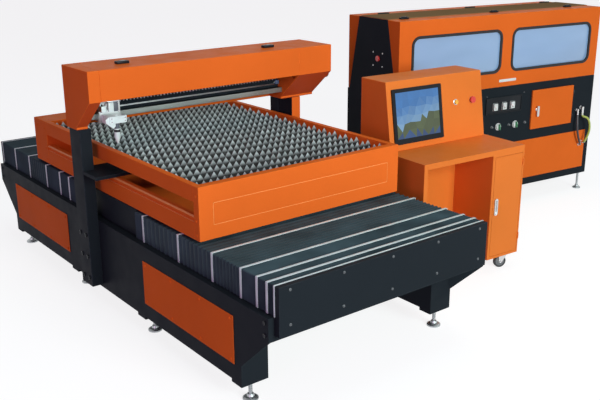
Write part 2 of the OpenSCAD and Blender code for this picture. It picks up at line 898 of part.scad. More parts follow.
module caster_wheel(i) {
  color(black) at_caster(i) translate([caster_trail, 0, caster_r]) rotate([90, 0, 0]) rotate_extrude($fn = 64)
    polygon([
      [axle_r + shaft_gap, -caster_w / 2],
      [14, -caster_w / 2], [16, -caster_w / 2 + 4], [28, -caster_w / 2 + 4],
      [30, -caster_w / 2], [caster_r - 3, -caster_w / 2], [caster_r, -caster_w / 2 + 3],
      [caster_r, caster_w / 2 - 3], [caster_r - 3, caster_w / 2], [30, caster_w / 2], [28, caster_w / 2 - 4],
      [16, caster_w / 2 - 4], [14, caster_w / 2], [axle_r + shaft_gap, caster_w / 2]
    ]);
}

// ---- Laser cabinet ----

// Lower cabinet: black case, its front panel with the door opening, the deck that carries the
// laser inside the case's walls, and the sloping end panel
module cabinet_base() {
  case_y = cab_wall + seat_gap;
  color(black) in_cabinet() {
    difference() {
      block([-cab_l, 0], [case_y, cab_d], [cab_z, band_top]);
      block([-cab_l + cab_wall, -cab_wall], [0, cab_d - cab_wall], [cab_z + cab_wall, band_top + 1]);
    }
    difference() {
      block([-cab_l, 0], [0, cab_wall], [cab_z, band_top]);
      block([cab_door_x + 12, cab_door_x + cab_door_w - 12], [-1, cab_wall + 1],
            [cab_door_z + 12, cab_door_z + cab_door_h - 12]);
    }
    block([-cab_l + cab_wall + seat_gap, -cab_wall - seat_gap],
          [case_y, cab_d - cab_wall - seat_gap], [band_top - 20, band_top]);
    along_x([end_x, end_x + end_t]) polygon([
      [0, cab_z], [cab_d, cab_z], [cab_d, band_top], [cab_d - 20, band_top], [lid_back + 2, cab_top],
      [lid_front - 2, cab_top], [20, band_top], [0, band_top]
    ]);
  }
}

// Upper housing with the two window openings and the roof opening; the lower front panel
module cabinet_housing() {
  color(orange) in_cabinet() {
    difference() {
      block([-cab_l, 0], [0, cab_d], [band_top, cab_top]);
      block([-cab_l + cab_wall, -cab_wall], [cab_wall, cab_d - cab_wall], [band_top - 1, cab_top - cab_wall]);
      block([-cab_l + cab_wall, -cab_wall], [lid_front + 20, lid_back - 20],
            [cab_top - cab_wall - 1, cab_top + 1]);
      for (x = window_x) translate([x, cab_wall + 1, window_bottom + window_tall / 2]) rotate([90, 0, 0])
        linear_extrude(cab_wall + 2) rounded(window_w, window_tall, window_r);
    }
    block([-cab_l + 12, -46], [-lower_panel_t, 0], [skirt_z, band_z]);
  }
}

// Window panes in their rubber gaskets
module cabinet_windows() {
  in_cabinet() for (x = window_x) translate([x, 0, window_bottom + window_tall / 2]) rotate([90, 0, 0]) {
    color(black) translate([0, 0, -20]) linear_extrude(24) difference() {
      rounded(window_w - 0.4, window_tall - 0.4, window_r - 0.2);
      rounded(window_w - 2 * gasket_w, window_tall - 2 * gasket_w, window_r - gasket_w);
    }
    color([0.65, 0.78, 0.9]) translate([0, 0, -10])
      linear_extrude(5) rounded(window_w - 2 * gasket_w, window_tall - 2 * gasket_w, window_r - gasket_w);
  }
}

module roof_lid() {
  color([0.6, 0.5, 0.38]) in_cabinet()
    block([-cab_l + 4, -4], [lid_front, lid_back - 4], [cab_top, cab_top + 4]);
}

// Lid hinges, lid latches, door hinges and the small screws and lamps of the black band
module cabinet_hardware() {
  color(black) in_cabinet() {
    for (x = lid_hinge_x) {
      translate([0, lid_back + 2, cab_top + 6]) bar_x(5, [x - 38, x + 38]);
      block([x - 38, x + 38], [lid_back + 2, lid_back + 26], [cab_top, cab_top + 9]);
    }
    for (x = lid_latch_x)
      block([x - 30, x + 30], [lid_front - 26, lid_front - slide_gap], [cab_top, cab_top + 16]);
    for (z = cab_hinge_z) {
      translate([cab_hinge_x, -8, z]) cylinder(r = 6, h = 26, center = true, $fn = 32);
      block([cab_hinge_x, cab_hinge_x + 18], [-4, 0], [z - 13, z + 13]);
    }
  }
  color(silver) in_cabinet() for (x = lamp_x) translate([x, 0, switch_z + 3]) bar_y(7, [-12, 0]);
}

// Red cover over the beam's way out, with its four screws
module aperture_cap() {
  color("red") in_cabinet() translate([end_x, aperture[0], aperture[1]]) rotate([0, -90, 0])
    cylinder(r = 18, h = 10, $fn = 64);
  color(silver) in_cabinet() for (y = [-50, 50], z = [-48, 38])
    translate([end_x, aperture[0] + y, aperture[1] + z]) rotate([0, -90, 0])
      cylinder(r = 5, h = 3, $fn = 32);
}

// Instrument plate with three meters
module panel_meters() {
  color(black) in_cabinet() block([-1066, -733], [-plate_d, 0], [693, 808]);
  color(white) in_cabinet() for (x = meter_x) block([x - 22, x + 22], [-plate_d - 12, -plate_d], [715, 770]);
}

module rotary_switch(x) {
  in_cabinet() translate([x, 0, switch_z]) rotate([90, 0, 0]) {
    color(white) cylinder(r = 20, h = 10, $fn = 48);
    color("green") translate([-6, -20, 10]) cube([12, 40, 12]);
  }
}

module switch_left() {
  rotary_switch(switch_x[0]);
}

module switch_right() {
  rotary_switch(switch_x[1]);
}

module cabinet_door() {
  color(orange) in_cabinet()
    block([cab_door_x, cab_door_x + cab_door_w - 1], [-cab_door_t, -slide_gap],
          [cab_door_z, cab_door_z + cab_door_h]);
}

module cabinet_handle() {
  color(silver) in_cabinet() translate([cab_door_x + 50, -cab_door_t, cab_door_z + 141]) rotate([90, 0, 0]) {
    cylinder(r = 14, h = 8, $fn = 48);
    translate([0, -12, 8]) linear_extrude(8) rounded(20, 76, 8);
  }
}

// Unions of the two hoses: an elbow at each upper end, a plain union at each lower end
module hose_fittings() {
  color(silver) in_cabinet() {
    elbow(loop_route[0], 647, 13);
    elbow(drain_route[0], 632, 11);
    lower_union(loop_route[len(loop_route) - 1], 13);
    lower_union(drain_route[len(drain_route) - 1], 11);
  }
}

// From the case forwards at a height, then down to the hose's end
module elbow(end, z, r) {
  translate([end[0], 0, z]) {
    bar_y(r, [-12, 0]);
    bar_y(r - 4, [end[1] - 2, -12]);
  }
  translate(end) cylinder(r = r - 4, h = z - end[2], $fn = 48);
}

module lower_union(end, r) {
  translate([end[0], 0, end[2]]) {
    bar_y(r, [-10, -lower_panel_t]);
    bar_y(r - 4, [end[1], -10]);
  }
}

// The loop bows forwards from its elbow and comes back to the lower panel; the drain hose hangs beside it
hose_r = 8;
loop_route = [
  [-126, -30, 604], [-126, -31, 590], [-122, -36, 582], [-112, -48, 581], [-98, -56, 574], [-83, -60, 556],
  [-72, -62, 526], [-67, -62, 491], [-69, -60, 458], [-77, -55, 430], [-85, -48, 405], [-86, -40, 388],
  [-84, -30, 382]
];
drain_route = [
  [-166, -22, 610], [-167, -23, 596], [-173, -30, 570], [-177, -36, 542], [-177, -38, 512], [-170, -38, 480],
  [-159, -37, 449], [-146, -35, 419], [-130, -32, 391], [-116, -27, 370], [-110, -20, 363]
];

function unit(v) = v / norm(v);
function tangent(path, i) = unit(path[min(i + 1, len(path) - 1)] - path[max(i - 1, 0)]);
// A ring of the tube, square to the path; the hose leaves downwards and ends squarely on the case
function hose_ring(route, i, sides) = let (
    t = i == 0 ? [0, 0, -1] : i == len(route) - 1 ? [0, 1, 0] : tangent(route, i),
    u = unit(cross(t, [0.94, 0.11, 0.31])),
    v = cross(t, u)
  ) [for (k = [0:sides - 1]) route[i] + hose_r * (cos(k * 360 / sides) * u + sin(k * 360 / sides) * v)];

module hose(route) {
  sides = 12;
  n = len(route);
  points = [for (i = [0:n - 1]) each hose_ring(route, i, sides)];
  walls = [for (i = [0:n - 2], k = [0:sides - 1]) let (m = (k + 1) % sides)
    each [[i * sides + k, (i + 1) * sides + k, (i + 1) * sides + m],
          [i * sides + k, (i + 1) * sides + m, i * sides + m]]];
  ends = [[for (k = [0:sides - 1]) k], [for (k = [sides - 1:-1:0]) (n - 1) * sides + k]];
  in_cabinet() polyhedron(points, concat(walls, ends));
}

module coolant_hose() {
  color("yellowgreen") hose(loop_route);
  color(black) hose(drain_route);
}

module cabinet_feet() {
  color(silver) in_cabinet() for (x = [-cab_l + 35, -35], y = [36, cab_d - 36])
    translate([x, y, 0]) levelling_foot(cab_z, 30);
}

// Laser tubes between their two mirror plates, on a bench that stands on the deck
module laser_resonator() {
  color(silver) in_cabinet() {
    block([-cab_l + 120, -120], [150, 410], [band_top, band_top + 30]);
    for (x = [-cab_l + 130, -cab_l / 2, -150])
      block([x, x + 20], [160, 400], [band_top + 30, band_top + 300]);
  }
  color([0.8, 0.9, 0.95]) in_cabinet()
    for (y = [215, 345], z = [120, 230], x = [[-cab_l + 150, -cab_l / 2], [-cab_l / 2 + 20, -150]])
      translate([0, y, band_top + z]) bar_x(28, x);
}

base_frame();
base_panels();
base_feet();
end_covers();
cover_bolts();
table_rails();
ball_screw();
screw_drive();
bellows_front();
bellows_rear();
cross_duct();
posts();
gantry_beam();
gantry_cover();
cover_latches();
gantry_cap_left();
gantry_cap_right();
guide_rails();
gear_rack();
head_carriage();
head_pinion();
focus_slide();
cutting_nozzle();
table_front();
table_rear();
table_rims();
table_tray();
slat_bed();
saddle();
console_shell();
console_hood();
monitor();
console_computer();
console_door();
console_handle();
amber_button();
red_button();
caster_fork(0);  // caster_fork_1
caster_fork(1);  // caster_fork_2
caster_fork(2);  // caster_fork_3
caster_fork(3);  // caster_fork_4
caster_wheel(0);  // caster_wheel_1
caster_wheel(1);  // caster_wheel_2
caster_wheel(2);  // caster_wheel_3
caster_wheel(3);  // caster_wheel_4
cabinet_base();
cabinet_housing();
cabinet_windows();
roof_lid();
cabinet_hardware();
aperture_cap();
panel_meters();
switch_left();
switch_right();
cabinet_door();
cabinet_handle();
hose_fittings();
coolant_hose();
cabinet_feet();
laser_resonator();
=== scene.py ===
"""Finished look of a laser cutting plant: the machine, its console and its laser cabinet.

Sizes are in metres and angles in degrees. The machine, the console and the cabinet each
have axes of their own, which the class Axes places in the plant.
"""

import json
import logging
import math
from dataclasses import dataclass
from enum import Enum
from typing import Callable, Sequence

import bmesh
import bpy
from mathutils import Matrix, Vector


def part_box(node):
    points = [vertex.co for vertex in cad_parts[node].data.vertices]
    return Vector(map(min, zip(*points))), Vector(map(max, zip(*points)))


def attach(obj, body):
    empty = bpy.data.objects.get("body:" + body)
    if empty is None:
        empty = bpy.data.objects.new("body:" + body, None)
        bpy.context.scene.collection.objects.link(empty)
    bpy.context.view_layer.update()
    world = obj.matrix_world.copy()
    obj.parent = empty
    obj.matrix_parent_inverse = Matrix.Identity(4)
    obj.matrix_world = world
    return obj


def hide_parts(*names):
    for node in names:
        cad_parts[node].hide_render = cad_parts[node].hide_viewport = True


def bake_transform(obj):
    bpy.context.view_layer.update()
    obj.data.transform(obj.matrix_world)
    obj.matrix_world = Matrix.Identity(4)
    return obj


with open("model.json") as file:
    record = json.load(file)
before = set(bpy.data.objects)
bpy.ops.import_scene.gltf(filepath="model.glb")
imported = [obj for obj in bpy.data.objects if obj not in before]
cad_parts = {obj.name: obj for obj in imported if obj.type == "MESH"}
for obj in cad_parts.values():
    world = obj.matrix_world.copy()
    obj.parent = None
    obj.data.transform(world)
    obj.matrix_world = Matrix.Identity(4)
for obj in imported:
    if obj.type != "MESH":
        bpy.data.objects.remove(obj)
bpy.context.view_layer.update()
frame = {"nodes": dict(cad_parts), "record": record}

log = logging.getLogger("plant")

Color = tuple[float, float, float]
Point = tuple[float, float, float]


# ---- Places and directions ----


@dataclass(frozen=True)
class Axes:
    """Place of one free-standing unit's own axes in the plant.

    Args:
        x: distance of the unit's origin across the plant.
        y: distance of the unit's origin along the plant.
        turn: angle of the unit about the vertical.
    """

    x: float
    y: float
    turn: float = 0.0

    def matrix(self) -> Matrix:
        """Returns the matrix from the unit's axes to the plant's."""
        return Matrix.Translation((self.x, self.y, 0)) @ Matrix.Rotation(math.radians(self.turn), 4, "Z")


def middle_x(node: str) -> float:
    """Returns the middle of a CAD node across the plant."""
    low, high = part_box(node)
    return (low.x + high.x) / 2


MACHINE = Axes(middle_x("base_frame"), 0.0)
CONSOLE = Axes(MACHINE.x + 1.513, -1.003, -4.0)
CABINET = Axes(MACHINE.x + 3.203, -0.310, -7.0)


class Facing(Enum):
    """Directions in which a screw, knob or plate looks out of its surface."""

    FRONT = (math.radians(90), 0.0, 0.0)
    BACK = (math.radians(-90), 0.0, 0.0)
    LEFT = (0.0, math.radians(-90), 0.0)
    RIGHT = (0.0, math.radians(90), 0.0)
    UP = (0.0, 0.0, 0.0)

    def at(self, point: Sequence[float]) -> Matrix:
        """Stands a shape on a point with its Z in this direction.

        Args:
            point: place of the shape's foot.

        Returns:
            The matrix of the shape's place.
        """
        turn = Matrix.Rotation(self.value[1], 4, "Y") @ Matrix.Rotation(self.value[0], 4, "X")
        return Matrix.Translation(point) @ turn


# ---- Finishes ----


class Tree:
    """Builder of one material's nodes, with a few turns of phrase shared by the finishes."""

    def __init__(self, name: str) -> None:
        """Makes the material.

        Args:
            name: name of the material.
        """
        self.material = bpy.data.materials.new(name)
        self.material.use_nodes = True
        self.nodes = self.material.node_tree.nodes
        self.links = self.material.node_tree.links
        self.shader = self.nodes["Principled BSDF"]
        self.place = self.nodes.new("ShaderNodeTexCoord").outputs["Object"]

    def put(self, **values: object) -> None:
        """Sets or links the shader's sockets, named with underscores for spaces.

        Args:
            values: a number, colour or socket for each input.
        """
        for key, value in values.items():
            self.feed(self.shader.inputs[key.replace("_", " ")], value)

    def feed(self, socket: bpy.types.NodeSocket, value: object) -> None:
        """Links a socket to an input, or sets its value.

        Args:
            socket: the input.
            value: a socket, a number or a colour of three numbers.
        """
        if isinstance(value, bpy.types.NodeSocket):
            self.links.new(value, socket)
        elif isinstance(value, tuple) and socket.type == "RGBA":
            socket.default_value = (*value, 1.0)
        else:
            socket.default_value = value

    def noise(self, scale: float, detail: float = 3.0, stretch: Point = (1, 1, 1)) -> bpy.types.NodeSocket:
        """Adds a noise texture on the object's own coordinates.

        Args:
            scale: lumps to the metre.
            detail: octaves.
            stretch: factor on each axis, small along a grain.

        Returns:
            The noise's value.
        """
        mapping = self.nodes.new("ShaderNodeMapping")
        mapping.inputs["Scale"].default_value = stretch
        self.links.new(self.place, mapping.inputs["Vector"])
        texture = self.nodes.new("ShaderNodeTexNoise")
        texture.inputs["Scale"].default_value = scale
        texture.inputs["Detail"].default_value = detail
        self.links.new(mapping.outputs["Vector"], texture.inputs["Vector"])
        return texture.outputs["Fac"]

    def span(self, value: bpy.types.NodeSocket, low: float, high: float,
             start: float = 0.32, end: float = 0.68) -> bpy.types.NodeSocket:
        """Maps a value's usual span to two limits, held at both.

        Args:
            value: the value to map.
            low: result at the start of the span.
            high: result at its end.
            start: the value's usual lower limit.
            end: the value's usual upper limit.

        Returns:
            The mapped value.
        """
        node = self.nodes.new("ShaderNodeMapRange")
        for key, number in (("From Min", start), ("From Max", end), ("To Min", low), ("To Max", high)):
            node.inputs[key].default_value = number
        self.links.new(value, node.inputs["Value"])
        return node.outputs["Result"]

    def math(self, kind: str, first: object, second: object = 0.0) -> bpy.types.NodeSocket:
        """Adds a math node.

        Args:
            kind: the operation.
            first: a socket or number.
            second: a socket or number.

        Returns:
            The result.
        """
        node = self.nodes.new("ShaderNodeMath")
        node.operation = kind
        self.feed(node.inputs[0], first)
        self.feed(node.inputs[1], second)
        return node.outputs[0]

    def blend(self, factor: object, first: object, second: object) -> bpy.types.NodeSocket:
        """Mixes two colours.

        Args:
            factor: share of the second colour.
            first: a colour or socket.
            second: a colour or socket.

        Returns:
            The mixed colour.
        """
        node = self.nodes.new("ShaderNodeMix")
        node.data_type = "RGBA"
        self.feed(node.inputs["Factor"], factor)
        self.feed(node.inputs[6], first)
        self.feed(node.inputs[7], second)
        return node.outputs[2]

    def attribute(self, name: str, kind: str = "Fac") -> bpy.types.NodeSocket:
        """Reads one of the mesh's own attributes.

        Args:
            name: name of the attribute.
            kind: the output that is read, Fac or Color.

        Returns:
            The attribute's value.
        """
        node = self.nodes.new("ShaderNodeAttribute")
        node.attribute_name = name
        return node.outputs[kind]

    def height(self) -> bpy.types.NodeSocket:
        """Returns the height over the floor."""
        node = self.nodes.new("ShaderNodeSeparateXYZ")
        self.links.new(self.place, node.inputs[0])
        return node.outputs["Z"]

    def relief(self, height: bpy.types.NodeSocket, distance: float) -> None:
        """Gives the surface a fine relief.

        Args:
            height: the relief's height.
            distance: depth of the relief.
        """
        node = self.nodes.new("ShaderNodeBump")
        node.inputs["Distance"].default_value = distance
        self.links.new(height, node.inputs["Height"])
        self.links.new(node.outputs["Normal"], self.shader.inputs["Normal"])


def scaled(color: Color, factor: float) -> Color:
    """Returns a colour made darker or lighter."""
    return tuple(min(1.0, channel * factor) for channel in color)


MADE: dict[str, bpy.types.Material] = {}


@dataclass(frozen=True)
class Finish:
    """What every finish has: its own name and the slot of the record that it belongs to."""

    name: str
    slot: str
    color: Color

    def grow(self, tree: Tree) -> None:
        """Adds the finish's nodes; each kind of finish has its own.

        Args:
            tree: builder of the finish's material.
        """
        raise NotImplementedError

    def material(self) -> bpy.types.Material:
        """Returns the finish's material, which is made once."""
        if self.name not in MADE:
            tree = Tree(self.name)
            self.grow(tree)
            MADE[self.name] = tree.material
        return MADE[self.name]


@dataclass(frozen=True)
class Paint(Finish):
    """Sprayed and baked paint: orange-peel relief, faint clouds of tone, thin at its edges."""

    roughness: float = 0.34
    peel: float = 0.00010
    cloud: float = 0.06
    thin: float = 1.35
    coat: float = 0.0
    shine: float = 0.025

    def grow(self, tree: Tree) -> None:
        """Adds the nodes of the paint.

        Args:
            tree: builder of the finish's material.
        """
        cloud = tree.span(tree.noise(1.7, 5.0), 0.0, 1.0)
        tone = tree.blend(cloud, scaled(self.color, 1 - self.cloud), scaled(self.color, 1 + self.cloud))
        speck = tree.span(tree.noise(260.0, 2.0), 0.0, 0.10, 0.55, 0.75)
        tone = tree.blend(speck, tone, scaled(self.color, 0.6))
        worn = tree.span(tree.noise(45.0, 4.0), 0.15, 0.75, 0.42, 0.66)
        rim = tree.math("MULTIPLY", tree.attribute("edge"), worn)
        tone = tree.blend(rim, tone, scaled(self.color, self.thin))
        rough = tree.span(tree.noise(11.0, 6.0), self.roughness - 0.05, self.roughness + 0.08)
        tree.put(Base_Color=tone, Roughness=rough, Coat_Weight=self.coat, Specular_IOR_Level=self.shine)
        tree.relief(tree.noise(620.0, 2.0), self.peel)


@dataclass(frozen=True)
class Metal(Finish):
    """Bare metal with the grain of its grinding or rolling along one axis."""

    roughness: float = 0.34
    grain: Point = (1.0, 1.0, 14.0)
    relief: float = 0.00004
    stain: float = 0.12

    def grow(self, tree: Tree) -> None:
        """Adds the nodes of the metal.

        Args:
            tree: builder of the finish's material.
        """
        lines = tree.noise(140.0, 4.0, self.grain)
        cloud = tree.noise(9.0, 5.0)
        tone = tree.blend(tree.span(cloud, 0.0, 1.0), scaled(self.color, 1 - self.stain), self.color)
        tone = tree.blend(tree.span(lines, 0.0, 0.35), tone, scaled(self.color, 0.72))
        rough = tree.span(lines, self.roughness - 0.07, self.roughness + 0.12)
        tree.put(Base_Color=tone, Roughness=rough, Metallic=1.0)
        tree.relief(lines, self.relief)


@dataclass(frozen=True)
class SlatMetal(Finish):
    """Cut slats: rolled steel, bright at the teeth's tips and dark below them, with painted shade between the
    rows and patches of soot.
    """

    foot: float = 0.847
    tip: float = 0.865

    def grow(self, tree: Tree) -> None:
        """Adds the nodes of the slats.

        Args:
            tree: builder of the finish's material.
        """
        # Painted shade: the colour darkens from the teeth's tips down to their feet for the shade between the
        # rows; the noise below breaks it up as patches of soot.
        rise = tree.span(tree.height(), 0.0, 1.0, self.foot, self.tip)
        soot = tree.span(tree.noise(26.0, 6.0), 0.55, 1.0)
        unshaded_and_clean = tree.math("MULTIPLY", rise, soot)
        tone = tree.blend(unshaded_and_clean, scaled(self.color, 0.055), self.color)
        scorch = tree.span(tree.noise(60.0), 0.0, 0.25, 0.55, 0.75)
        tone = tree.blend(scorch, tone, scaled(self.color, 0.5))
        rough = tree.span(tree.noise(40.0, 5.0), 0.38, 0.62)
        tree.put(Base_Color=tone, Roughness=rough, Metallic=0.25)
        tree.relief(tree.noise(420.0, 3.0), 0.00008)


@dataclass(frozen=True)
class Cloth(Finish):
    """Coated bellows cloth: a fine weave under its coating, dusty along the folds."""

    weave: float = 1400.0

    def grow(self, tree: Tree) -> None:
        """Adds the nodes of the cloth.

        Args:
            tree: builder of the finish's material.
        """
        dust = tree.span(tree.noise(5.0, 6.0), 0.0, 1.0)
        tone = tree.blend(dust, scaled(self.color, 0.75), scaled(self.color, 1.5))
        warp = tree.noise(self.weave, 1.0, (1.0, 0.25, 1.0))
        weft = tree.noise(self.weave, 1.0, (0.25, 1.0, 1.0))
        tree.put(Base_Color=tone, Roughness=tree.span(dust, 0.42, 0.58), Specular_IOR_Level=0.05)
        tree.relief(tree.math("MAXIMUM", warp, weft), 0.00012)


@dataclass(frozen=True)
class Plastic(Finish):
    """Moulded plastic, rubber or enamel: a fine grain and slightly uneven gloss."""

    roughness: float = 0.4
    grain: float = 900.0
    depth: float = 0.00005
    coat: float = 0.0
    shine: float = 0.5

    def grow(self, tree: Tree) -> None:
        """Adds the nodes of the plastic.

        Args:
            tree: builder of the finish's material.
        """
        cloud = tree.span(tree.noise(14.0, 4.0), 0.0, 1.0)
        tone = tree.blend(cloud, scaled(self.color, 0.92), scaled(self.color, 1.08))
        rough = tree.span(tree.noise(30.0, 5.0), self.roughness - 0.04, self.roughness + 0.06)
        tree.put(Base_Color=tone, Roughness=rough, Coat_Weight=self.coat, Specular_IOR_Level=self.shine)
        tree.relief(tree.noise(self.grain, 2.0), self.depth)


@dataclass(frozen=True)
class Pane(Finish):
    """Tinted window pane: smooth, with a slow change of tone and a few wiping marks."""

    fade: float = 0.12

    def grow(self, tree: Tree) -> None:
        """Adds the nodes of the pane.

        Args:
            tree: builder of the finish's material.
        """
        slow = tree.span(tree.noise(1.3, 2.0, (1.0, 1.0, 2.5)), 0.0, 1.0)
        tone = tree.blend(slow, scaled(self.color, 1 - self.fade), scaled(self.color, 1 + self.fade / 2))
        smear = tree.span(tree.noise(12.0, 6.0, (1.0, 1.0, 0.25)), 0.05, 0.16)
        tree.put(Base_Color=tone, Roughness=smear, Coat_Weight=0.6, Coat_Roughness=0.03)


@dataclass(frozen=True)
class Picture(Finish):
    """Lit display whose coloured fields are the faces of its own mesh."""

    glow: float = 0.75

    def grow(self, tree: Tree) -> None:
        """Adds the nodes of the display.

        Args:
            tree: builder of the finish's material.
        """
        field_color = tree.attribute("field", "Color")
        grid = tree.span(tree.noise(1500.0, 1.0), 0.97, 1.0)
        tone = tree.blend(grid, self.color, field_color)
        tree.put(Base_Color=(0.01, 0.01, 0.012), Roughness=tree.span(tree.noise(20.0), 0.14, 0.2),
                 Emission_Color=tone, Emission_Strength=self.glow)


ORANGE = Paint("orange_enamel", "orange_paint", (0.85, 0.155, 0.022), shine=0.006)
DESK_ORANGE = Paint("desk_enamel", "orange_paint", (0.81, 0.195, 0.030), roughness=0.42, peel=0.00004,
                    shine=0.10)
# Darker orange painted on the gantry caps' down-slanting front faces as their own shade.
SHADED_ORANGE = Paint("painted_shade_enamel", "orange_paint", (0.56, 0.078, 0.020), shine=0.006)
# Lighter, glossier orange painted on the table's grooves and lips as the highlights they catch.
HIGHLIGHT_ORANGE = Paint("painted_highlight_enamel", "orange_paint", (0.95, 0.36, 0.11), shine=0.1)
BLACK = Paint("black_enamel", "black_paint", (0.0170, 0.0215, 0.0260), roughness=0.42, thin=2.2, shine=0.018)
ROOF = Paint("roof_enamel", "roof_paint", (0.30, 0.17, 0.08), roughness=0.4, shine=0.0)
CLOTH = Cloth("pleated_cloth", "bellows_cloth", (0.036, 0.056, 0.064))
STRIP = Plastic("bellows_strip", "white_plastic", (0.68, 0.76, 0.74), roughness=0.35, shine=0.3)
RAIL_STEEL = Metal("rail_steel", "steel", (0.36, 0.40, 0.38), grain=(0.05, 1.0, 1.0))
SCREW_STEEL = Metal("screw_steel", "steel", (0.50, 0.51, 0.53), grain=(1.0, 12.0, 1.0), roughness=0.26)
SLAT_STEEL = SlatMetal("toothed_steel", "slat_steel", (0.58, 0.68, 0.67))
ZINC = Metal("zinc_plate", "chrome", (0.66, 0.67, 0.68), roughness=0.3, grain=(1.0, 1.0, 1.0))
FOOT_STEEL = Metal("foot_steel", "chrome", (0.45, 0.48, 0.49), roughness=0.45, grain=(1.0, 1.0, 1.0))
BOLT = Metal("bolt_steel", "chrome", (0.62, 0.63, 0.64), roughness=0.24, grain=(1.0, 1.0, 1.0))
DULL_BOLT = Metal("dull_bolt", "chrome", (0.16, 0.17, 0.18), roughness=0.4, grain=(1.0, 1.0, 1.0))
BLACK_OXIDE = Metal("black_oxide", "black_paint", (0.035, 0.037, 0.041), roughness=0.36,
                    grain=(1.0, 1.0, 1.0))
ALUMINIUM = Metal("satin_aluminium", "aluminium", (0.70, 0.71, 0.72), roughness=0.38, grain=(0.1, 1.0, 1.0))
HEAD_WHITE = Plastic("head_enamel", "white_plastic", (0.76, 0.86, 0.82), roughness=0.3, coat=0.1)
RUBBER = Plastic("gasket_rubber", "black_plastic", (0.030, 0.028, 0.030), roughness=0.55, shine=0.2)
BLACK_PLASTIC = Plastic("moulded_black", "black_plastic", (0.014, 0.016, 0.019), roughness=0.36, shine=0.12)
TYRE = Plastic("tyre_rubber", "black_plastic", (0.030, 0.030, 0.032), roughness=0.6)
WHITE_PLASTIC = Plastic("moulded_white", "white_plastic", (0.78, 0.78, 0.75), roughness=0.3, coat=0.2)
AMBER = Plastic("amber_lens", "amber_plastic", (0.90, 0.42, 0.03), roughness=0.2, coat=0.5)
RED = Plastic("red_enamel", "red_plastic", (0.72, 0.030, 0.020), roughness=0.25, coat=0.4)
GREEN = Plastic("moulded_green", "green_plastic", (0.02, 0.20, 0.07), roughness=0.28, coat=0.3)
SWITCH_BLUE = Plastic("switch_blue", "black_plastic", (0.10, 0.15, 0.26), roughness=0.35)
MOTOR_GREY = Plastic("motor_enamel", "black_plastic", (0.10, 0.115, 0.135), roughness=0.4)
HUB = Plastic("hub_plastic", "black_plastic", (0.16, 0.165, 0.17), roughness=0.4)
NICKEL = Metal("bright_nickel", "brass", (0.80, 0.81, 0.80), roughness=0.22, grain=(1.0, 1.0, 1.0))
HOSE = Plastic("hose_plastic", "hose", (0.42, 0.50, 0.08), roughness=0.25, coat=0.3)
DRAIN = Plastic("drain_hose", "hose", (0.05, 0.045, 0.05), roughness=0.4)
PANE = Pane("window_pane", "pane", (0.30, 0.45, 0.68))
PICTURE = Picture("display", "screen", (0.02, 0.02, 0.025))


# ---- Forms ----


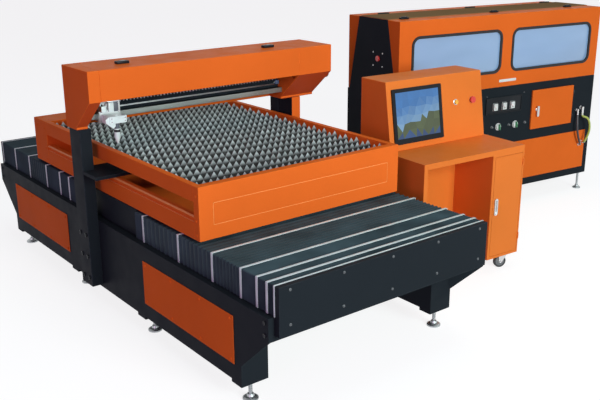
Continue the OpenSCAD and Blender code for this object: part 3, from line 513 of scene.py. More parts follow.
class Form:
    """Mesh of one piece in the making; each shape is shaped by itself, then placed and added."""

    def __init__(self) -> None:
        """Starts an empty form."""
        self.bm = bmesh.new()
        self.index = 0

    def use(self, index: int) -> "Form":
        """Names which of the piece's finishes the next shapes get."""
        self.index = index
        return self

    def add(self, part: bmesh.types.BMesh, place: Matrix) -> None:
        """Closes a shape's seams, turns its faces outwards, and adds it in its place.

        Args:
            part: the shape, which is used up.
            place: matrix from the shape's axes to the piece's.
        """
        bmesh.ops.remove_doubles(part, verts=part.verts, dist=1e-6)
        bmesh.ops.transform(part, matrix=place, verts=part.verts)
        bmesh.ops.recalc_face_normals(part, faces=part.faces)
        for face in part.faces:
            face.material_index = self.index
        mesh = bpy.data.meshes.new("shape")
        part.to_mesh(mesh)
        part.free()
        self.bm.from_mesh(mesh)
        bpy.data.meshes.remove(mesh)

    def block(self, low: Sequence[float], high: Sequence[float], edge: float = 0.001,
              place: Matrix = Matrix()) -> "Form":
        """Adds a block with rounded edges between two corners.

        Args:
            low: lowest corner.
            high: highest corner.
            edge: width of its rounded edges.
            place: matrix of the block's axes.

        Returns:
            The form.
        """
        part = bmesh.new()
        bmesh.ops.create_cube(part, size=1.0)
        size = Vector(high) - Vector(low)
        bmesh.ops.scale(part, vec=size, verts=part.verts)
        bmesh.ops.translate(part, vec=(Vector(low) + Vector(high)) / 2, verts=part.verts)
        if edge > 0:
            bmesh.ops.bevel(part, geom=part.edges[:], offset=edge, segments=2, profile=0.5,
                            affect="EDGES", material=-1)
        self.add(part, place)
        return self

    def plate(self, width: float, height: float, depth: float, corner: float, place: Matrix,
              edge: float = 0.0006, steps: int = 6) -> "Form":
        """Adds a plate with round corners, standing on its place and centred there.

        Args:
            width: size along X.
            height: size along Y.
            depth: size along Z, up from the place.
            corner: radius of the four corners.
            place: matrix of the plate's foot.
            edge: width of the rounded rim.
            steps: segments of a corner.

        Returns:
            The form.
        """
        part = bmesh.new()
        bmesh.ops.create_cube(part, size=1.0)
        bmesh.ops.scale(part, vec=(width, height, depth), verts=part.verts)
        bmesh.ops.translate(part, vec=(0, 0, depth / 2), verts=part.verts)
        upright = [e for e in part.edges if abs(e.verts[0].co.z - e.verts[1].co.z) > depth / 2]
        bmesh.ops.bevel(part, geom=upright, offset=corner, segments=steps, profile=0.5,
                        affect="EDGES", material=-1)
        rim = [e for e in part.edges if min(e.verts[0].co.z, e.verts[1].co.z) > depth * 0.99]
        if edge > 0:
            bmesh.ops.bevel(part, geom=rim, offset=edge, segments=2, profile=0.5,
                            affect="EDGES", material=-1)
        self.add(part, place)
        return self

    def turned(self, profile: Sequence[tuple[float, float]], place: Matrix, steps: int = 32) -> "Form":
        """Adds a turned shape.

        Args:
            profile: radius and height of each point, from the lower end to the upper.
            place: matrix of the shape's foot.
            steps: segments round the axis.

        Returns:
            The form.
        """
        part = bmesh.new()
        corners = [part.verts.new((radius, 0.0, height)) for radius, height in profile]
        edges = [part.edges.new(pair) for pair in zip(corners, corners[1:])]
        bmesh.ops.spin(part, geom=corners + edges, cent=(0, 0, 0), axis=(0, 0, 1),
                       angle=math.tau, steps=steps, use_merge=True)
        self.add(part, place)
        return self

    def bolt(self, radius: float, height: float, place: Matrix, sides: int = 12) -> "Form":
        """Adds a socket bolt's head.

        Args:
            radius: radius of the head.
            height: height of the head.
            place: matrix of the head's foot.
            sides: sides of the head; six makes a plain hexagon.

        Returns:
            The form.
        """
        part = bmesh.new()
        bmesh.ops.create_cone(part, cap_ends=True, segments=sides, radius1=radius, radius2=radius,
                              depth=height)
        bmesh.ops.translate(part, vec=(0, 0, height / 2), verts=part.verts)
        top = [f for f in part.faces if f.calc_center_median().z > height * 0.99]
        rim = [e for f in top for e in f.edges]
        bmesh.ops.bevel(part, geom=rim, offset=radius * 0.14, segments=1, profile=0.5,
                        affect="EDGES", material=-1)
        top = [max(part.faces, key=lambda f: f.calc_center_median().z + f.calc_area())]
        bmesh.ops.inset_region(part, faces=top, thickness=radius * 0.4)
        bmesh.ops.translate(part, vec=(0, 0, -height * 0.5), verts=top[0].verts[:])
        self.add(part, place)
        return self

    def frame(self, width: float, height: float, rim: float, depth: float, corner: float,
              place: Matrix) -> "Form":
        """Adds a flat frame with round outer corners and an open middle.

        Args:
            width: outer size along X.
            height: outer size along Y.
            rim: width of the frame's sides.
            depth: thickness.
            corner: radius of the outer corners.
            place: matrix of the frame's foot.

        Returns:
            The form.
        """
        part = bmesh.new()
        bmesh.ops.create_grid(part, x_segments=1, y_segments=1, size=0.5)
        bmesh.ops.scale(part, vec=(width, height, 1), verts=part.verts)
        bmesh.ops.bevel(part, geom=part.verts[:], offset=corner, segments=8, profile=0.5,
                        affect="VERTICES", material=-1)
        sheet = part.faces[:]
        bmesh.ops.inset_region(part, faces=sheet, thickness=rim, use_boundary=True, use_even_offset=True)
        bmesh.ops.delete(part, geom=sheet, context="FACES_ONLY")
        raised = bmesh.ops.extrude_face_region(part, geom=part.faces[:])
        bmesh.ops.translate(part, vec=(0, 0, depth),
                            verts=[g for g in raised["geom"] if isinstance(g, bmesh.types.BMVert)])
        self.add(part, place)
        return self

    def pipe(self, path: Sequence[Sequence[float]], radius: float, place: Matrix = Matrix(),
             sides: int = 12, smooth: bool = True) -> "Form":
        """Adds a tube along a path, closed at both ends.

        Args:
            path: points of its middle line.
            radius: radius of the tube.
            place: matrix of the path's axes.
            sides: sides of the tube.
            smooth: True for a smooth curve through the points, False for straight runs.

        Returns:
            The form.
        """
        curve = bpy.data.curves.new("path", "CURVE")
        curve.dimensions = "3D"
        curve.bevel_depth = radius
        curve.bevel_resolution = max(0, sides // 4 - 1)
        curve.use_fill_caps = True
        spline = curve.splines.new("NURBS" if smooth else "POLY")
        spline.points.add(len(path) - 1)
        for point, where in zip(spline.points, path):
            point.co = (*where, 1.0)
        if smooth:
            spline.order_u = 4
            spline.use_endpoint_u = True
            spline.resolution_u = 6
        holder = bpy.data.objects.new("path", curve)
        mesh = bpy.data.meshes.new_from_object(holder)
        part = bmesh.new()
        part.from_mesh(mesh)
        bpy.data.objects.remove(holder)
        bpy.data.curves.remove(curve)
        bpy.data.meshes.remove(mesh)
        self.add(part, place)
        return self

    def piece(self, name: str, finishes: Sequence[Finish], body: str | None, place: Matrix = Matrix(),
              replaces: Sequence[str] = (), sharp: float = 38.0) -> bpy.types.Object:
        """Finishes the form as an object that rides on a body.

        Args:
            name: name of the piece.
            finishes: finishes of its shapes, in the order of their material indices.
            body: the CAD body it moves with, or None for a piece that rides on no body.
            place: matrix from the form's axes to the plant's.
            replaces: CAD nodes it stands for.
            sharp: angle above which an edge is shaded sharp.

        Returns:
            The piece.
        """
        bmesh.ops.transform(self.bm, matrix=place, verts=self.bm.verts)
        mesh = bpy.data.meshes.new(name)
        self.bm.to_mesh(mesh)
        self.bm.free()
        return finished(mesh, name, finishes, body, replaces, sharp)


def finished(mesh: bpy.types.Mesh, name: str, finishes: Sequence[Finish], body: str | None,
             replaces: Sequence[str] = (), sharp: float = 38.0) -> bpy.types.Object:
    """Makes an object of a finished mesh, with its finishes, shading and body.

    Args:
        mesh: the mesh, in its place in the plant.
        name: name of the piece.
        finishes: finishes of its faces, in the order of their material indices.
        body: the CAD body it moves with, or None for a piece that rides on no body.
        replaces: CAD nodes it stands for.
        sharp: angle above which an edge is shaded sharp.

    Returns:
        The piece.
    """
    for finish in finishes:
        mesh.materials.append(finish.material())
    mesh.shade_smooth()
    mesh.set_sharp_from_angle(angle=math.radians(sharp))
    piece = bpy.data.objects.new(name, mesh)
    bpy.context.scene.collection.objects.link(piece)
    if body is not None:
        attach(piece, body)
    if replaces:
        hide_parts(*replaces)
    log.info("%s: %d faces on %s", name, len(mesh.polygons), body or "two bodies")
    return piece


def disc(radius: float, height: float, bevel_r: float, bevel_h: float) -> list[tuple[float, float]]:
    """Draws the profile of a disc or cap whose upper edge is bevelled.

    Args:
        radius: radius of the disc.
        height: its height.
        bevel_r: width of the bevel.
        bevel_h: height of the bevel.

    Returns:
        Radius and height of each point, from the foot's middle to the top's.
    """
    return [(0.0, 0.0), (radius, 0.0), (radius, height - bevel_h), (radius - bevel_r, height), (0.0, height)]


def body_of(node: str) -> str:
    """Returns the name of the body that a CAD node rides on."""
    groups = frame["record"]["behaviour"]["bodies"]
    return next(body for body, members in groups.items() if node in members)


def folded(bm: bmesh.types.BMesh) -> bool:
    """Tells whether a face of a mesh is folded over itself, so that its triangles cover more than it does.

    Args:
        bm: the mesh.

    Returns:
        True if a face larger than a square centimetre is folded.
    """
    covered: dict[bmesh.types.BMFace, float] = {}
    for loops in bm.calc_loop_triangles():
        a, b, c = (loop.vert.co for loop in loops)
        covered[loops[0].face] = covered.get(loops[0].face, 0.0) + (b - a).cross(c - a).length / 2
    return any(area > 1e-4 and area > face.calc_area() * 1.02 for face, area in covered.items())


def round_edges(bm: bmesh.types.BMesh, width: float, space: float) -> None:
    """Rounds the sharp edges of a mesh and marks the new faces in the layer "edge".

    Args:
        bm: the mesh.
        width: width of the rounded edges.
        space: shortest edge, in widths, that may meet a rounded one.
    """
    room = {v: min(e.calc_length() for e in v.link_edges) for v in bm.verts if v.link_edges}
    corners = [e for e in bm.edges
               if len(e.link_faces) == 2 and e.calc_face_angle(0.0) > math.radians(30.0)
               and min(room[v] for v in e.verts) > width * space]
    rim = bm.faces.layers.float.new("edge")
    if corners:
        rounded = bmesh.ops.bevel(bm, geom=corners, offset=width, segments=2, profile=0.5,
                                  affect="EDGES", material=-1, clamp_overlap=True)
        for face in rounded["faces"]:
            face[rim] = 1.0


def carve(bm: bmesh.types.BMesh, blocks: Sequence[tuple[Point, Point]]) -> None:
    """Cuts blocks out of a mesh.

    Args:
        bm: the mesh.
        blocks: lowest and highest corner of every block.
    """
    whole = bpy.data.meshes.new("carved")
    bm.to_mesh(whole)
    bm.clear()
    for low, high in blocks:
        middle = (Vector(low) + Vector(high)) / 2
        size = Vector(high) - Vector(low)
        bmesh.ops.create_cube(bm, size=1.0, matrix=Matrix.LocRotScale(middle, None, size))
    tool = bpy.data.meshes.new("cutter")
    bm.to_mesh(tool)
    bm.clear()
    piece, cutter = bpy.data.objects.new("carved", whole), bpy.data.objects.new("cutter", tool)
    for part in (piece, cutter):
        bpy.context.scene.collection.objects.link(part)
    cut = piece.modifiers.new("cut", "BOOLEAN")
    cut.operation = "DIFFERENCE"
    cut.object = cutter
    evaluated = piece.evaluated_get(bpy.context.evaluated_depsgraph_get())
    bm.from_mesh(evaluated.data)
    for part in (piece, cutter):
        bpy.data.objects.remove(part)
    for mesh in (whole, tool):
        bpy.data.meshes.remove(mesh)


# Share of the wanted width, and shortest edge in widths that may meet a rounded one, of each try.
TRIES = ((1.0, 2.4), (1.0, 8.0), (0.3, 8.0), (0.3, 50.0))


def edged_copy(node: str, finish: Finish, width: float = 0.0018,
               cuts: Sequence[tuple[Point, Point]] = ()) -> bpy.types.Object:
    """Makes a copy of a CAD node whose sharp edges are rounded, as folded or ground metal is.

    A width that folds one of the node's faces is tried again with more space, then narrower.

    Args:
        node: name of the CAD node.
        finish: its finish.
        width: width of the rounded edges.
        cuts: blocks cut out of the copy, by their lowest and highest corners.

    Returns:
        The copy, which stands for the node.
    """
    for narrower, space in TRIES:
        bm = bmesh.new()
        bm.from_mesh(frame["nodes"][node].data)
        bmesh.ops.remove_doubles(bm, verts=bm.verts, dist=2e-5)
        bmesh.ops.dissolve_limit(bm, angle_limit=math.radians(0.8), use_dissolve_boundaries=False,
                                 verts=bm.verts, edges=bm.edges)
        if cuts:
            carve(bm, cuts)
        round_edges(bm, width * narrower, space)
        if not folded(bm):
            break
        log.info("%s: edges %.4f m wide fold a face", node, width * narrower)
        bm.free()
    for face in bm.faces:
        face.material_index = 0
    mesh = bpy.data.meshes.new(node + "_edged")
    bm.to_mesh(mesh)
    bm.free()
    piece = finished(mesh, node + "_edged", [finish], body_of(node), [node], sharp=50.0)
    weighted = piece.modifiers.new("even_shading", "WEIGHTED_NORMAL")
    weighted.keep_sharp = True
    return piece


def recoat(piece: bpy.types.Object, finish: Finish, chosen: Callable[[bpy.types.MeshPolygon], bool]) -> None:
    """Gives some faces of a piece a second finish.

    Args:
        piece: the piece.
        finish: the second finish.
        chosen: tells whether a face gets it.
    """
    piece.data.materials.append(finish.material())
    for face in piece.data.polygons:
        if chosen(face):
            face.material_index = len(piece.data.materials) - 1


def coat(node: str, finish: Finish) -> None:
    """Gives a CAD node, whose own shape is right, a better finish.

    Args:
        node: name of the CAD node.
        finish: its finish.
    """
    slots = frame["nodes"][node].material_slots
    for slot in slots:
        slot.material = finish.material()
    if not slots:
        frame["nodes"][node].data.materials.append(finish.material())
    log.info("%s: coated", node)


# ---- Studio ----


@dataclass
class Studio:
    """Pale floor, soft lamps and the camera on its stand."""

    camera_at: Point = (-3.678217, -3.923095, 1.950)
    heading: float = 38.0450
    pitch: float = 17.9279
    roll: float = -0.28938
    lens: float = 51.223
    floor_r: float = 30.0

    def build(self) -> None:
        """Builds the floor, the lamps and the camera, and sets how the picture is shown."""
        self.floor()
        self.sky()
        self.lamp("key", (-1.2, -9.0, 3.2), (-0.6, 0.0, 0.7), 4.0, 600.0, (0.90, 1.06, 1.04))
        self.lamp("over", (0.0, -0.4, 6.5), (0.0, 0.0, 0.0), 5.0, 75.0, (0.74, 1.15, 1.02))
        self.lamp("left", (-8.0, -5.0, 2.4), (0.2, -0.6, 0.7), 3.0, 100.0, (1.0, 0.43, 0.95))
        self.camera()
        bpy.context.scene.view_settings.view_transform = "Standard"

    def floor(self) -> None:
        """Builds the floor, white to the eye but for the soft shadow on it."""
        bm = bmesh.new()
        bmesh.ops.create_circle(bm, cap_ends=True, segments=96, radius=self.floor_r)
        mesh = bpy.data.meshes.new("floor")
        bm.to_mesh(mesh)
        bm.free()
        floor = bpy.data.objects.new("floor", mesh)
        bpy.context.scene.collection.objects.link(floor)
        tree = Tree("floor")
        seen = self.seen(tree.nodes, tree.links)
        matt = tree.nodes.new("ShaderNodeBsdfDiffuse")
        tree.feed(matt.inputs["Color"], tree.blend(seen, (0.50, 0.50, 0.50), (0.90, 0.90, 0.90)))
        glow = tree.nodes.new("ShaderNodeEmission")
        tree.feed(glow.inputs["Strength"], 1.28)
        mixed = tree.nodes.new("ShaderNodeMixShader")
        tree.feed(mixed.inputs["Fac"], tree.math("MULTIPLY", seen, 0.65))
        tree.links.new(matt.outputs[0], mixed.inputs[1])
        tree.links.new(glow.outputs[0], mixed.inputs[2])
        tree.links.new(mixed.outputs[0], tree.nodes["Material Output"].inputs["Surface"])
        tree.nodes.remove(tree.shader)
        mesh.materials.append(tree.material)

    def seen(self, nodes: bpy.types.Nodes, links: bpy.types.NodeLinks) -> bpy.types.NodeSocket:
        """Tells a ray that is seen, straight or in a mirror or pane, from one that lights.

        Args:
            nodes: nodes of the material or the world.
            links: its links.

        Returns:
            1 for a ray that is seen, and 0 for one that lights.
        """
        path = nodes.new("ShaderNodeLightPath")
        total = path.outputs["Is Camera Ray"]
        for kind in ("Is Glossy Ray", "Is Transmission Ray"):
            both = nodes.new("ShaderNodeMath")
            both.operation = "ADD"
            both.use_clamp = True
            links.new(total, both.inputs[0])
            links.new(path.outputs[kind], both.inputs[1])
            total = both.outputs[0]
        return total

    def sky(self) -> None:
        """Makes the surroundings: white where they are seen, pale grey where they light."""
        world = bpy.data.worlds.new("studio")
        bpy.context.scene.world = world
        world.use_nodes = True
        nodes, links = world.node_tree.nodes, world.node_tree.links
        light = nodes["Background"]
        light.inputs["Color"].default_value = (0.98, 0.82, 1.15, 1)
        light.inputs["Strength"].default_value = 0.165
        white = nodes.new("ShaderNodeBackground")
        white.inputs["Color"].default_value = (1, 1, 1, 1)
        white.inputs["Strength"].default_value = 1.0
        mixed = nodes.new("ShaderNodeMixShader")
        links.new(self.seen(nodes, links), mixed.inputs["Fac"])
        links.new(light.outputs[0], mixed.inputs[1])
        links.new(white.outputs[0], mixed.inputs[2])
        links.new(mixed.outputs[0], nodes["World Output"].inputs["Surface"])

    def lamp(self, name: str, at: Point, aim: Point, size: float, power: float,
             color: Color = (1.0, 1.0, 1.0)) -> None:
        """Adds a soft square lamp.

        Args:
            name: name of the lamp.
            at: its place.
            aim: the point it looks at.
            size: its side.
            power: its power in watts.
            color: its colour.
        """
        data = bpy.data.lights.new(name, "AREA")
        data.color = color
        data.size = size
        data.energy = power
        lamp = bpy.data.objects.new(name, data)
        bpy.context.scene.collection.objects.link(lamp)
        lamp.location = at
        lamp.rotation_euler = (Vector(aim) - Vector(at)).to_track_quat("-Z", "Y").to_euler()

    def camera(self) -> None:
        """Stands the camera at its place and turns it by its heading, pitch and roll."""
        data = bpy.data.cameras.new("camera")
        data.lens = self.lens
        data.sensor_width = 36.0
        camera = bpy.data.objects.new("camera", data)
        bpy.context.scene.collection.objects.link(camera)
        turn = (Matrix.Rotation(math.radians(-self.heading), 4, "Z")
                @ Matrix.Rotation(math.radians(90 - self.pitch), 4, "X")
                @ Matrix.Rotation(math.radians(self.roll), 4, "Z"))
        camera.matrix_world = Matrix.Translation(self.camera_at) @ turn
        bpy.context.scene.camera = camera


# ---- Levelling feet ----


def threads(name: str, across: Sequence[float], along: Sequence[float], top: float, axes: Axes) -> None:
    """Builds the threads of a unit's levelling feet.

    Args:
        name: name of the piece.
        across: the feet's places across the unit.
        along: their places along it.
        top: height at which the threads end.
        axes: the unit's axes.
    """
    low, pitch, root, crest = 0.030, 0.005, 0.0075, 0.0092
    form = Form()
    for x in across:
        for y in along:
            for step in range(int((top - low) / pitch)):
                z = low + step * pitch
                form.turned([(root, z), (crest, z + 0.0015), (root, z + 0.0030)],
                            Matrix.Translation((x, y, 0)), 16)
    form.piece(name, [ZINC], "base", axes.matrix())


# ---- The machine's base ----


@dataclass
class Base:
    """Black base on levelling feet: side frames, orange panels, end covers and the two posts."""

    half_w: float = 0.638
    panel_out: float = 0.641
    panel_y: Sequence[float] = (-0.83, 0.83)
    panel_l: float = 0.780
    panel_z: Sequence[float] = (0.184, 0.408)
    cover_y: float = 1.502
    bolt_x: Sequence[float] = (-0.554, -0.277, 0.0, 0.277, 0.554)
    bolt_z: Sequence[float] = (0.450, 0.600)
    foot_x: Sequence[float] = (-0.5685, 0.5685)
    foot_y: Sequence[float] = (-1.2315, -0.392, 0.392, 1.2315)
    gusset_x: Sequence[float] = (0.498, 0.630)
    gusset_y: Sequence[float] = (1.269, 1.490)
    gusset_z: Sequence[float] = (0.150, 0.380)
    post_x: float = 0.638
    post_w: float = 0.062
    post_bolt_y: Sequence[float] = (0.060, 0.125)
    post_bolt_z: Sequence[float] = (0.170, 0.290, 0.410)
    post_cover_y: Sequence[float] = (0.1575, 0.248)
    post_cover_z: Sequence[float] = (0.300, 0.974)
    beam_bolt_y: Sequence[float] = (-1.443, 1.443)
    beam_bolt_z: Sequence[float] = (0.405, 0.460)

    def build(self) -> None:
        """Dresses the base's CAD nodes and adds its screws and fittings."""
        edged_copy("base_frame", BLACK, 0.003, self.gusset_hollows())
        edged_copy("base_panels", ORANGE, 0.001)
        edged_copy("end_covers", BLACK, 0.0015)
        edged_copy("cross_duct", BLACK, 0.002)
        edged_copy("screw_drive", BLACK, 0.002)
        coat("base_feet", FOOT_STEEL)
        coat("table_rails", RAIL_STEEL)
        coat("ball_screw", SCREW_STEEL)
        recoat(edged_copy("posts", BLACK, 0.003), ORANGE,
               lambda face: face.normal.y < -0.9 and face.center.x > MACHINE.x)
        self.post_cover()
        self.panel_screws()
        self.cover_bolts()
        self.frame_bolts()
        threads("base_foot_threads", self.foot_x, self.foot_y, 0.078, MACHINE)

    def post_cover(self) -> None:
        """Builds the long cover behind the right post, with its three screws."""
        form = Form()
        out = self.post_x + self.post_w
        (front, back), (low, high) = self.post_cover_y, self.post_cover_z
        form.use(0).block((self.post_x, front, low), (out, back, high), 0.003)
        for z in (0.360, 0.640, 0.920):
            form.use(1).bolt(0.006, 0.003, Facing.RIGHT.at((out, 0.203, z)))
        form.piece("post_cover", [BLACK, BLACK_OXIDE], "base", MACHINE.matrix())

    def gusset_hollows(self) -> list[tuple[Point, Point]]:
        """Returns the blocks cut out behind the thin gusset plates at the side frames' four ends."""
        hollows = []
        for side in (-1, 1):
            for way in (-1, 1):
                across = sorted(side * x for x in self.gusset_x)
                along = sorted(way * y for y in self.gusset_y)
                low, high = (MACHINE.matrix() @ Vector(at) for at in zip(across, along, self.gusset_z))
                hollows.append((tuple(low), tuple(high)))
        return hollows

    def panel_screws(self) -> None:
        """Builds the screws round the side panels."""
        form = Form()
        for middle in self.panel_y:
            for along in (-0.47, -0.16, 0.16, 0.47):
                for z in (self.panel_z[0] + 0.018, self.panel_z[1] - 0.018):
                    y = middle + along * self.panel_l
                    form.bolt(0.0065, 0.0035, Facing.LEFT.at((-self.panel_out, y, z)))
                    form.bolt(0.0065, 0.0035, Facing.RIGHT.at((self.panel_out, y, z)))
        form.piece("panel_screws", [ORANGE], "base", MACHINE.matrix())

    def cover_bolts(self) -> None:
        """Builds the end covers' bolts on their washers."""
        form = Form()
        for side, facing in ((-1, Facing.FRONT), (1, Facing.BACK)):
            for x in self.bolt_x:
                for z in self.bolt_z:
                    foot = facing.at((x, side * self.cover_y, z))
                    form.turned(disc(0.0065, 0.0012, 0.0005, 0.0003), foot, 16)
                    form.bolt(0.0050, 0.0038, foot @ Matrix.Translation((0, 0, 0.0002)), 6)
        form.piece("end_cover_bolts", [DULL_BOLT], "base", MACHINE.matrix(), ["cover_bolts"])

    def frame_bolts(self) -> None:
        """Builds the bolts that hold the posts and the end beams to the side frames."""
        form = Form()
        out = self.post_x + self.post_w
        for side, facing in ((-1, Facing.LEFT), (1, Facing.RIGHT)):
            for y in self.post_bolt_y:
                for z in self.post_bolt_z:
                    form.bolt(0.011, 0.006, facing.at((side * out, y, z)))
            for y in self.beam_bolt_y:
                for z in self.beam_bolt_z:
                    form.bolt(0.009, 0.005, facing.at((side * self.half_w, y, z)))
        form.piece("frame_bolts", [BLACK_OXIDE], "base", MACHINE.matrix())


@dataclass
class Bellows:
    """Pleated cover of the travel on one side of the saddle, with its stiffening strips.

    Args:
        name: name of the CAD node it stands for.
        side: -1 for the front bellows, 1 for the rear.
        shares: places of the strips from the saddle (0) to the end cover (1).
    """

    name: str
    side: int
    shares: Sequence[float]
    half_w: float = 0.609
    low: float = 0.487
    top: float = 0.620
    start: float = 0.331
    end: float = 1.468
    pleat: float = 0.005
    pleats: int = 8
    strip_w: float = 0.014

    def build(self) -> None:
        """Builds the cloth and the strips, which ride on no body, and bakes their places into their meshes.
        """
        cloth = self.cloth()
        strips = self.strips()
        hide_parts(self.name)
        for piece in (cloth, strips):
            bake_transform(piece)

    def strip_places(self) -> list[float]:
        """Returns the strips' places along the machine."""
        return [self.start + share * (self.end - self.start) for share in self.shares]

    def line(self) -> list[tuple[float, float]]:
        """Returns place and depth of every crest and fold from the saddle to the end cover."""
        stops = [self.start, *self.strip_places(), self.end]
        half = self.strip_w / 2
        points = [(self.start, 0.0)]
        for first, last in zip(stops, stops[1:]):
            begin = first + (half if first > self.start else 0.0)
            finish = last - half
            for step in range(self.pleats):
                width = (finish - begin) / self.pleats
                points.append((begin + (step + 0.5) * width, self.pleat))
                points.append((begin + (step + 1) * width, 0.0))
            points.append((min(last + half, self.end), 0.0))
        return points

    def hoop(self, bm: bmesh.types.BMesh, inset: float) -> list[bmesh.types.BMVert]:
        """Adds the U-shaped section of the cover, with its two upper corners cut.

        Args:
            bm: the mesh.
            inset: how far the section is drawn in.

        Returns:
            The section's points.
        """
        w, top, cut = self.half_w - inset, self.top - inset, 0.004
        return [bm.verts.new((x, 0.0, z)) for x, z in (
            (-w, self.low), (-w, top - cut), (-w + cut, top), (w - cut, top), (w, top - cut), (w, self.low))]

    def cloth(self) -> bpy.types.Object:
        """Builds the pleated cloth, hoop by hoop, and gives it its thickness."""
        bm = bmesh.new()
        hoops = []
        for place, depth in self.line():
            hoop = self.hoop(bm, depth + 0.0004)
            bmesh.ops.translate(bm, vec=(0, self.side * place, 0), verts=hoop)
            hoops.append([bm.edges.new(pair) for pair in zip(hoop, hoop[1:])])
        for first, second in zip(hoops, hoops[1:]):
            bmesh.ops.bridge_loops(bm, edges=first + second)
        bmesh.ops.recalc_face_normals(bm, faces=bm.faces)
        top = max(bm.faces, key=lambda face: face.calc_center_median().z)
        if top.normal.z < 0:
            bmesh.ops.reverse_faces(bm, faces=bm.faces)
        bmesh.ops.solidify(bm, geom=bm.faces[:], thickness=0.0012)
        bmesh.ops.transform(bm, matrix=MACHINE.matrix(), verts=bm.verts)
        mesh = bpy.data.meshes.new(self.name + "_cloth")
        bm.to_mesh(mesh)
        bm.free()
        return finished(mesh, self.name + "_cloth", [CLOTH], None, sharp=12.0)

    def strips(self) -> bpy.types.Object:
        """Builds the strips, each folded over the top and down both sides, with their rivets."""
        form = Form()
        out, t = self.half_w, 0.0018
        widths = [(place, self.strip_w) for place in self.strip_places()]
        for place, width in [*widths, (self.end + 0.003, self.strip_w * 0.6)]:
            y, half = self.side * place, width / 2
            form.block((-out - t, y - half, self.top), (out + t, y + half, self.top + t), 0.0005)
            for x0, x1 in ((-out - t, -out), (out, out + t)):
                form.block((x0, y - half, self.low), (x1, y + half, self.top + t * 0.6), 0.0005)
            for x in (-0.58, -0.2, 0.2, 0.58):
                form.bolt(0.0028, 0.0009, Facing.UP.at((x, y, self.top + t)), 8)
        return form.piece(self.name + "_strips", [STRIP], None, MACHINE.matrix())


# ---- The gantry and its head ----


@dataclass
class Gantry:
    """Fixed gantry: beam, folded cover, end caps, guide bars and the rack between them."""

    left: float = -0.712
    right: float = 0.795
    front: float = -0.142
    back: float = 0.157
    top: float = 1.290
    mech_left: float = -0.651
    mech_right: float = 0.560
    beam_y: float = 0.062
    latch_x: Sequence[float] = (-0.463, 0.438)
    latch_h: float = 0.014
    band_z: Sequence[float] = (1.0600, 1.0640)
    bolts: int = 60
    beam_bolt_z: float = 1.0900
    rail_bolt_z: float = 1.032
    rail_bolt_in: float = 0.0382
    switch_z: Sequence[float] = (1.064, 1.086)

    def build(self) -> None:
        """Dresses the gantry's CAD nodes and adds its screws, bands and flange."""
        edged_copy("gantry_beam", BLACK, 0.003)
        edged_copy("gantry_cover", ORANGE, 0.0018)
        for cap in ("gantry_cap_left", "gantry_cap_right"):
            # Painted shade: the caps' faces that slant down and forward get the darker orange.
            recoat(edged_copy(cap, ORANGE, 0.003), SHADED_ORANGE,
                   lambda face: face.normal.z < -0.3 and face.normal.y < -0.3)
        # Painted shade: the rails' upward faces get black oxide for the shadow of the beam above them.
        recoat(edged_copy("guide_rails", RAIL_STEEL, 0.0015), BLACK_OXIDE, lambda face: face.normal.z > 0.9)
        edged_copy("gear_rack", SCREW_STEEL, 0.0006)
        self.latches()
        self.beam_face()
        self.screws()
        self.inlet_flange()

    def latches(self) -> None:
        """Builds the two raised latches on the cover's top, each with its grey slide."""
        form = Form()
        high = self.top + self.latch_h
        for x in self.latch_x:
            form.use(0).block((x - 0.034, -0.027, self.top), (x + 0.034, 0.007, high), 0.003)
            form.use(1).block((x - 0.013, -0.021, high - 0.001), (x + 0.015, 0.001, high + 0.0015), 0.001)
        form.piece("latch_covers", [BLACK_PLASTIC, HUB], "base", MACHINE.matrix(), ["cover_latches"])

    def beam_face(self) -> None:
        """Builds the slotted band, the two rows of bolts and the end switch on the beam's face."""
        y = self.beam_y
        left, right = self.mech_left + 0.002, self.mech_right - 0.002
        band, bolts, switch = Form(), Form(), Form()
        for z in self.band_z:
            band.block((left, y - 0.003, z), (right, y, z + 0.0022), 0.0005)
        band.piece("beam_band", [ALUMINIUM], "base", MACHINE.matrix())
        span = self.mech_right - self.mech_left - 0.040
        for step in range(self.bolts):
            x = self.mech_left + 0.020 + step * span / (self.bolts - 1)
            bolts.bolt(0.0042, 0.0035, Facing.FRONT.at((x, y, self.beam_bolt_z)), 8)
            if step % 2:
                rail = Facing.FRONT.at((x, y - self.rail_bolt_in, self.rail_bolt_z))
                bolts.bolt(0.0040, 0.0020, rail, 8)
        bolts.piece("beam_bolts", [BOLT], "base", MACHINE.matrix())
        x = self.mech_right - 0.030
        low, high = self.switch_z
        switch.use(0).block((x, y - 0.018, low), (x + 0.024, y, high), 0.0015)
        plunger = Facing.LEFT.at((x, y - 0.009, (low + high) / 2))
        switch.use(1).turned(disc(0.0035, 0.009, 0.0015, 0.002), plunger, 16)
        switch.piece("end_switch", [SWITCH_BLUE, BOLT], "base", MACHINE.matrix())

    def screws(self) -> None:
        """Builds the screws of the cover and of both caps."""
        form = Form()
        for x in (-0.62, -0.22, 0.22, 0.53):
            form.bolt(0.006, 0.0025, Facing.UP.at((x, self.back - 0.022, self.top)))
            form.bolt(0.006, 0.0025, Facing.BACK.at((x, self.back, self.top - 0.12)))
        for y, z in ((-0.115, 1.262), (0.130, 1.262), (0.130, 1.005), (-0.115, 1.165)):
            form.bolt(0.007, 0.0012, Facing.LEFT.at((self.left, y, z)))
            form.bolt(0.007, 0.0030, Facing.RIGHT.at((self.right, y, z)))
        form.piece("gantry_screws", [ORANGE], "base", MACHINE.matrix())

    def inlet_flange(self) -> None:
        """Builds the flange round the beam's way in, on the right cap."""
        form = Form()
        bore, thick, rim = 0.0152, 0.006, 0.0315
        form.turned([(bore, 0.0), (bore, thick), (rim - 0.0015, thick), (rim, thick - 0.0015), (rim, 0.0),
                     (bore, 0.0)], Facing.RIGHT.at((self.right, -0.085, 1.125)), 40)
        form.piece("inlet_flange", [ALUMINIUM], "base", MACHINE.matrix())


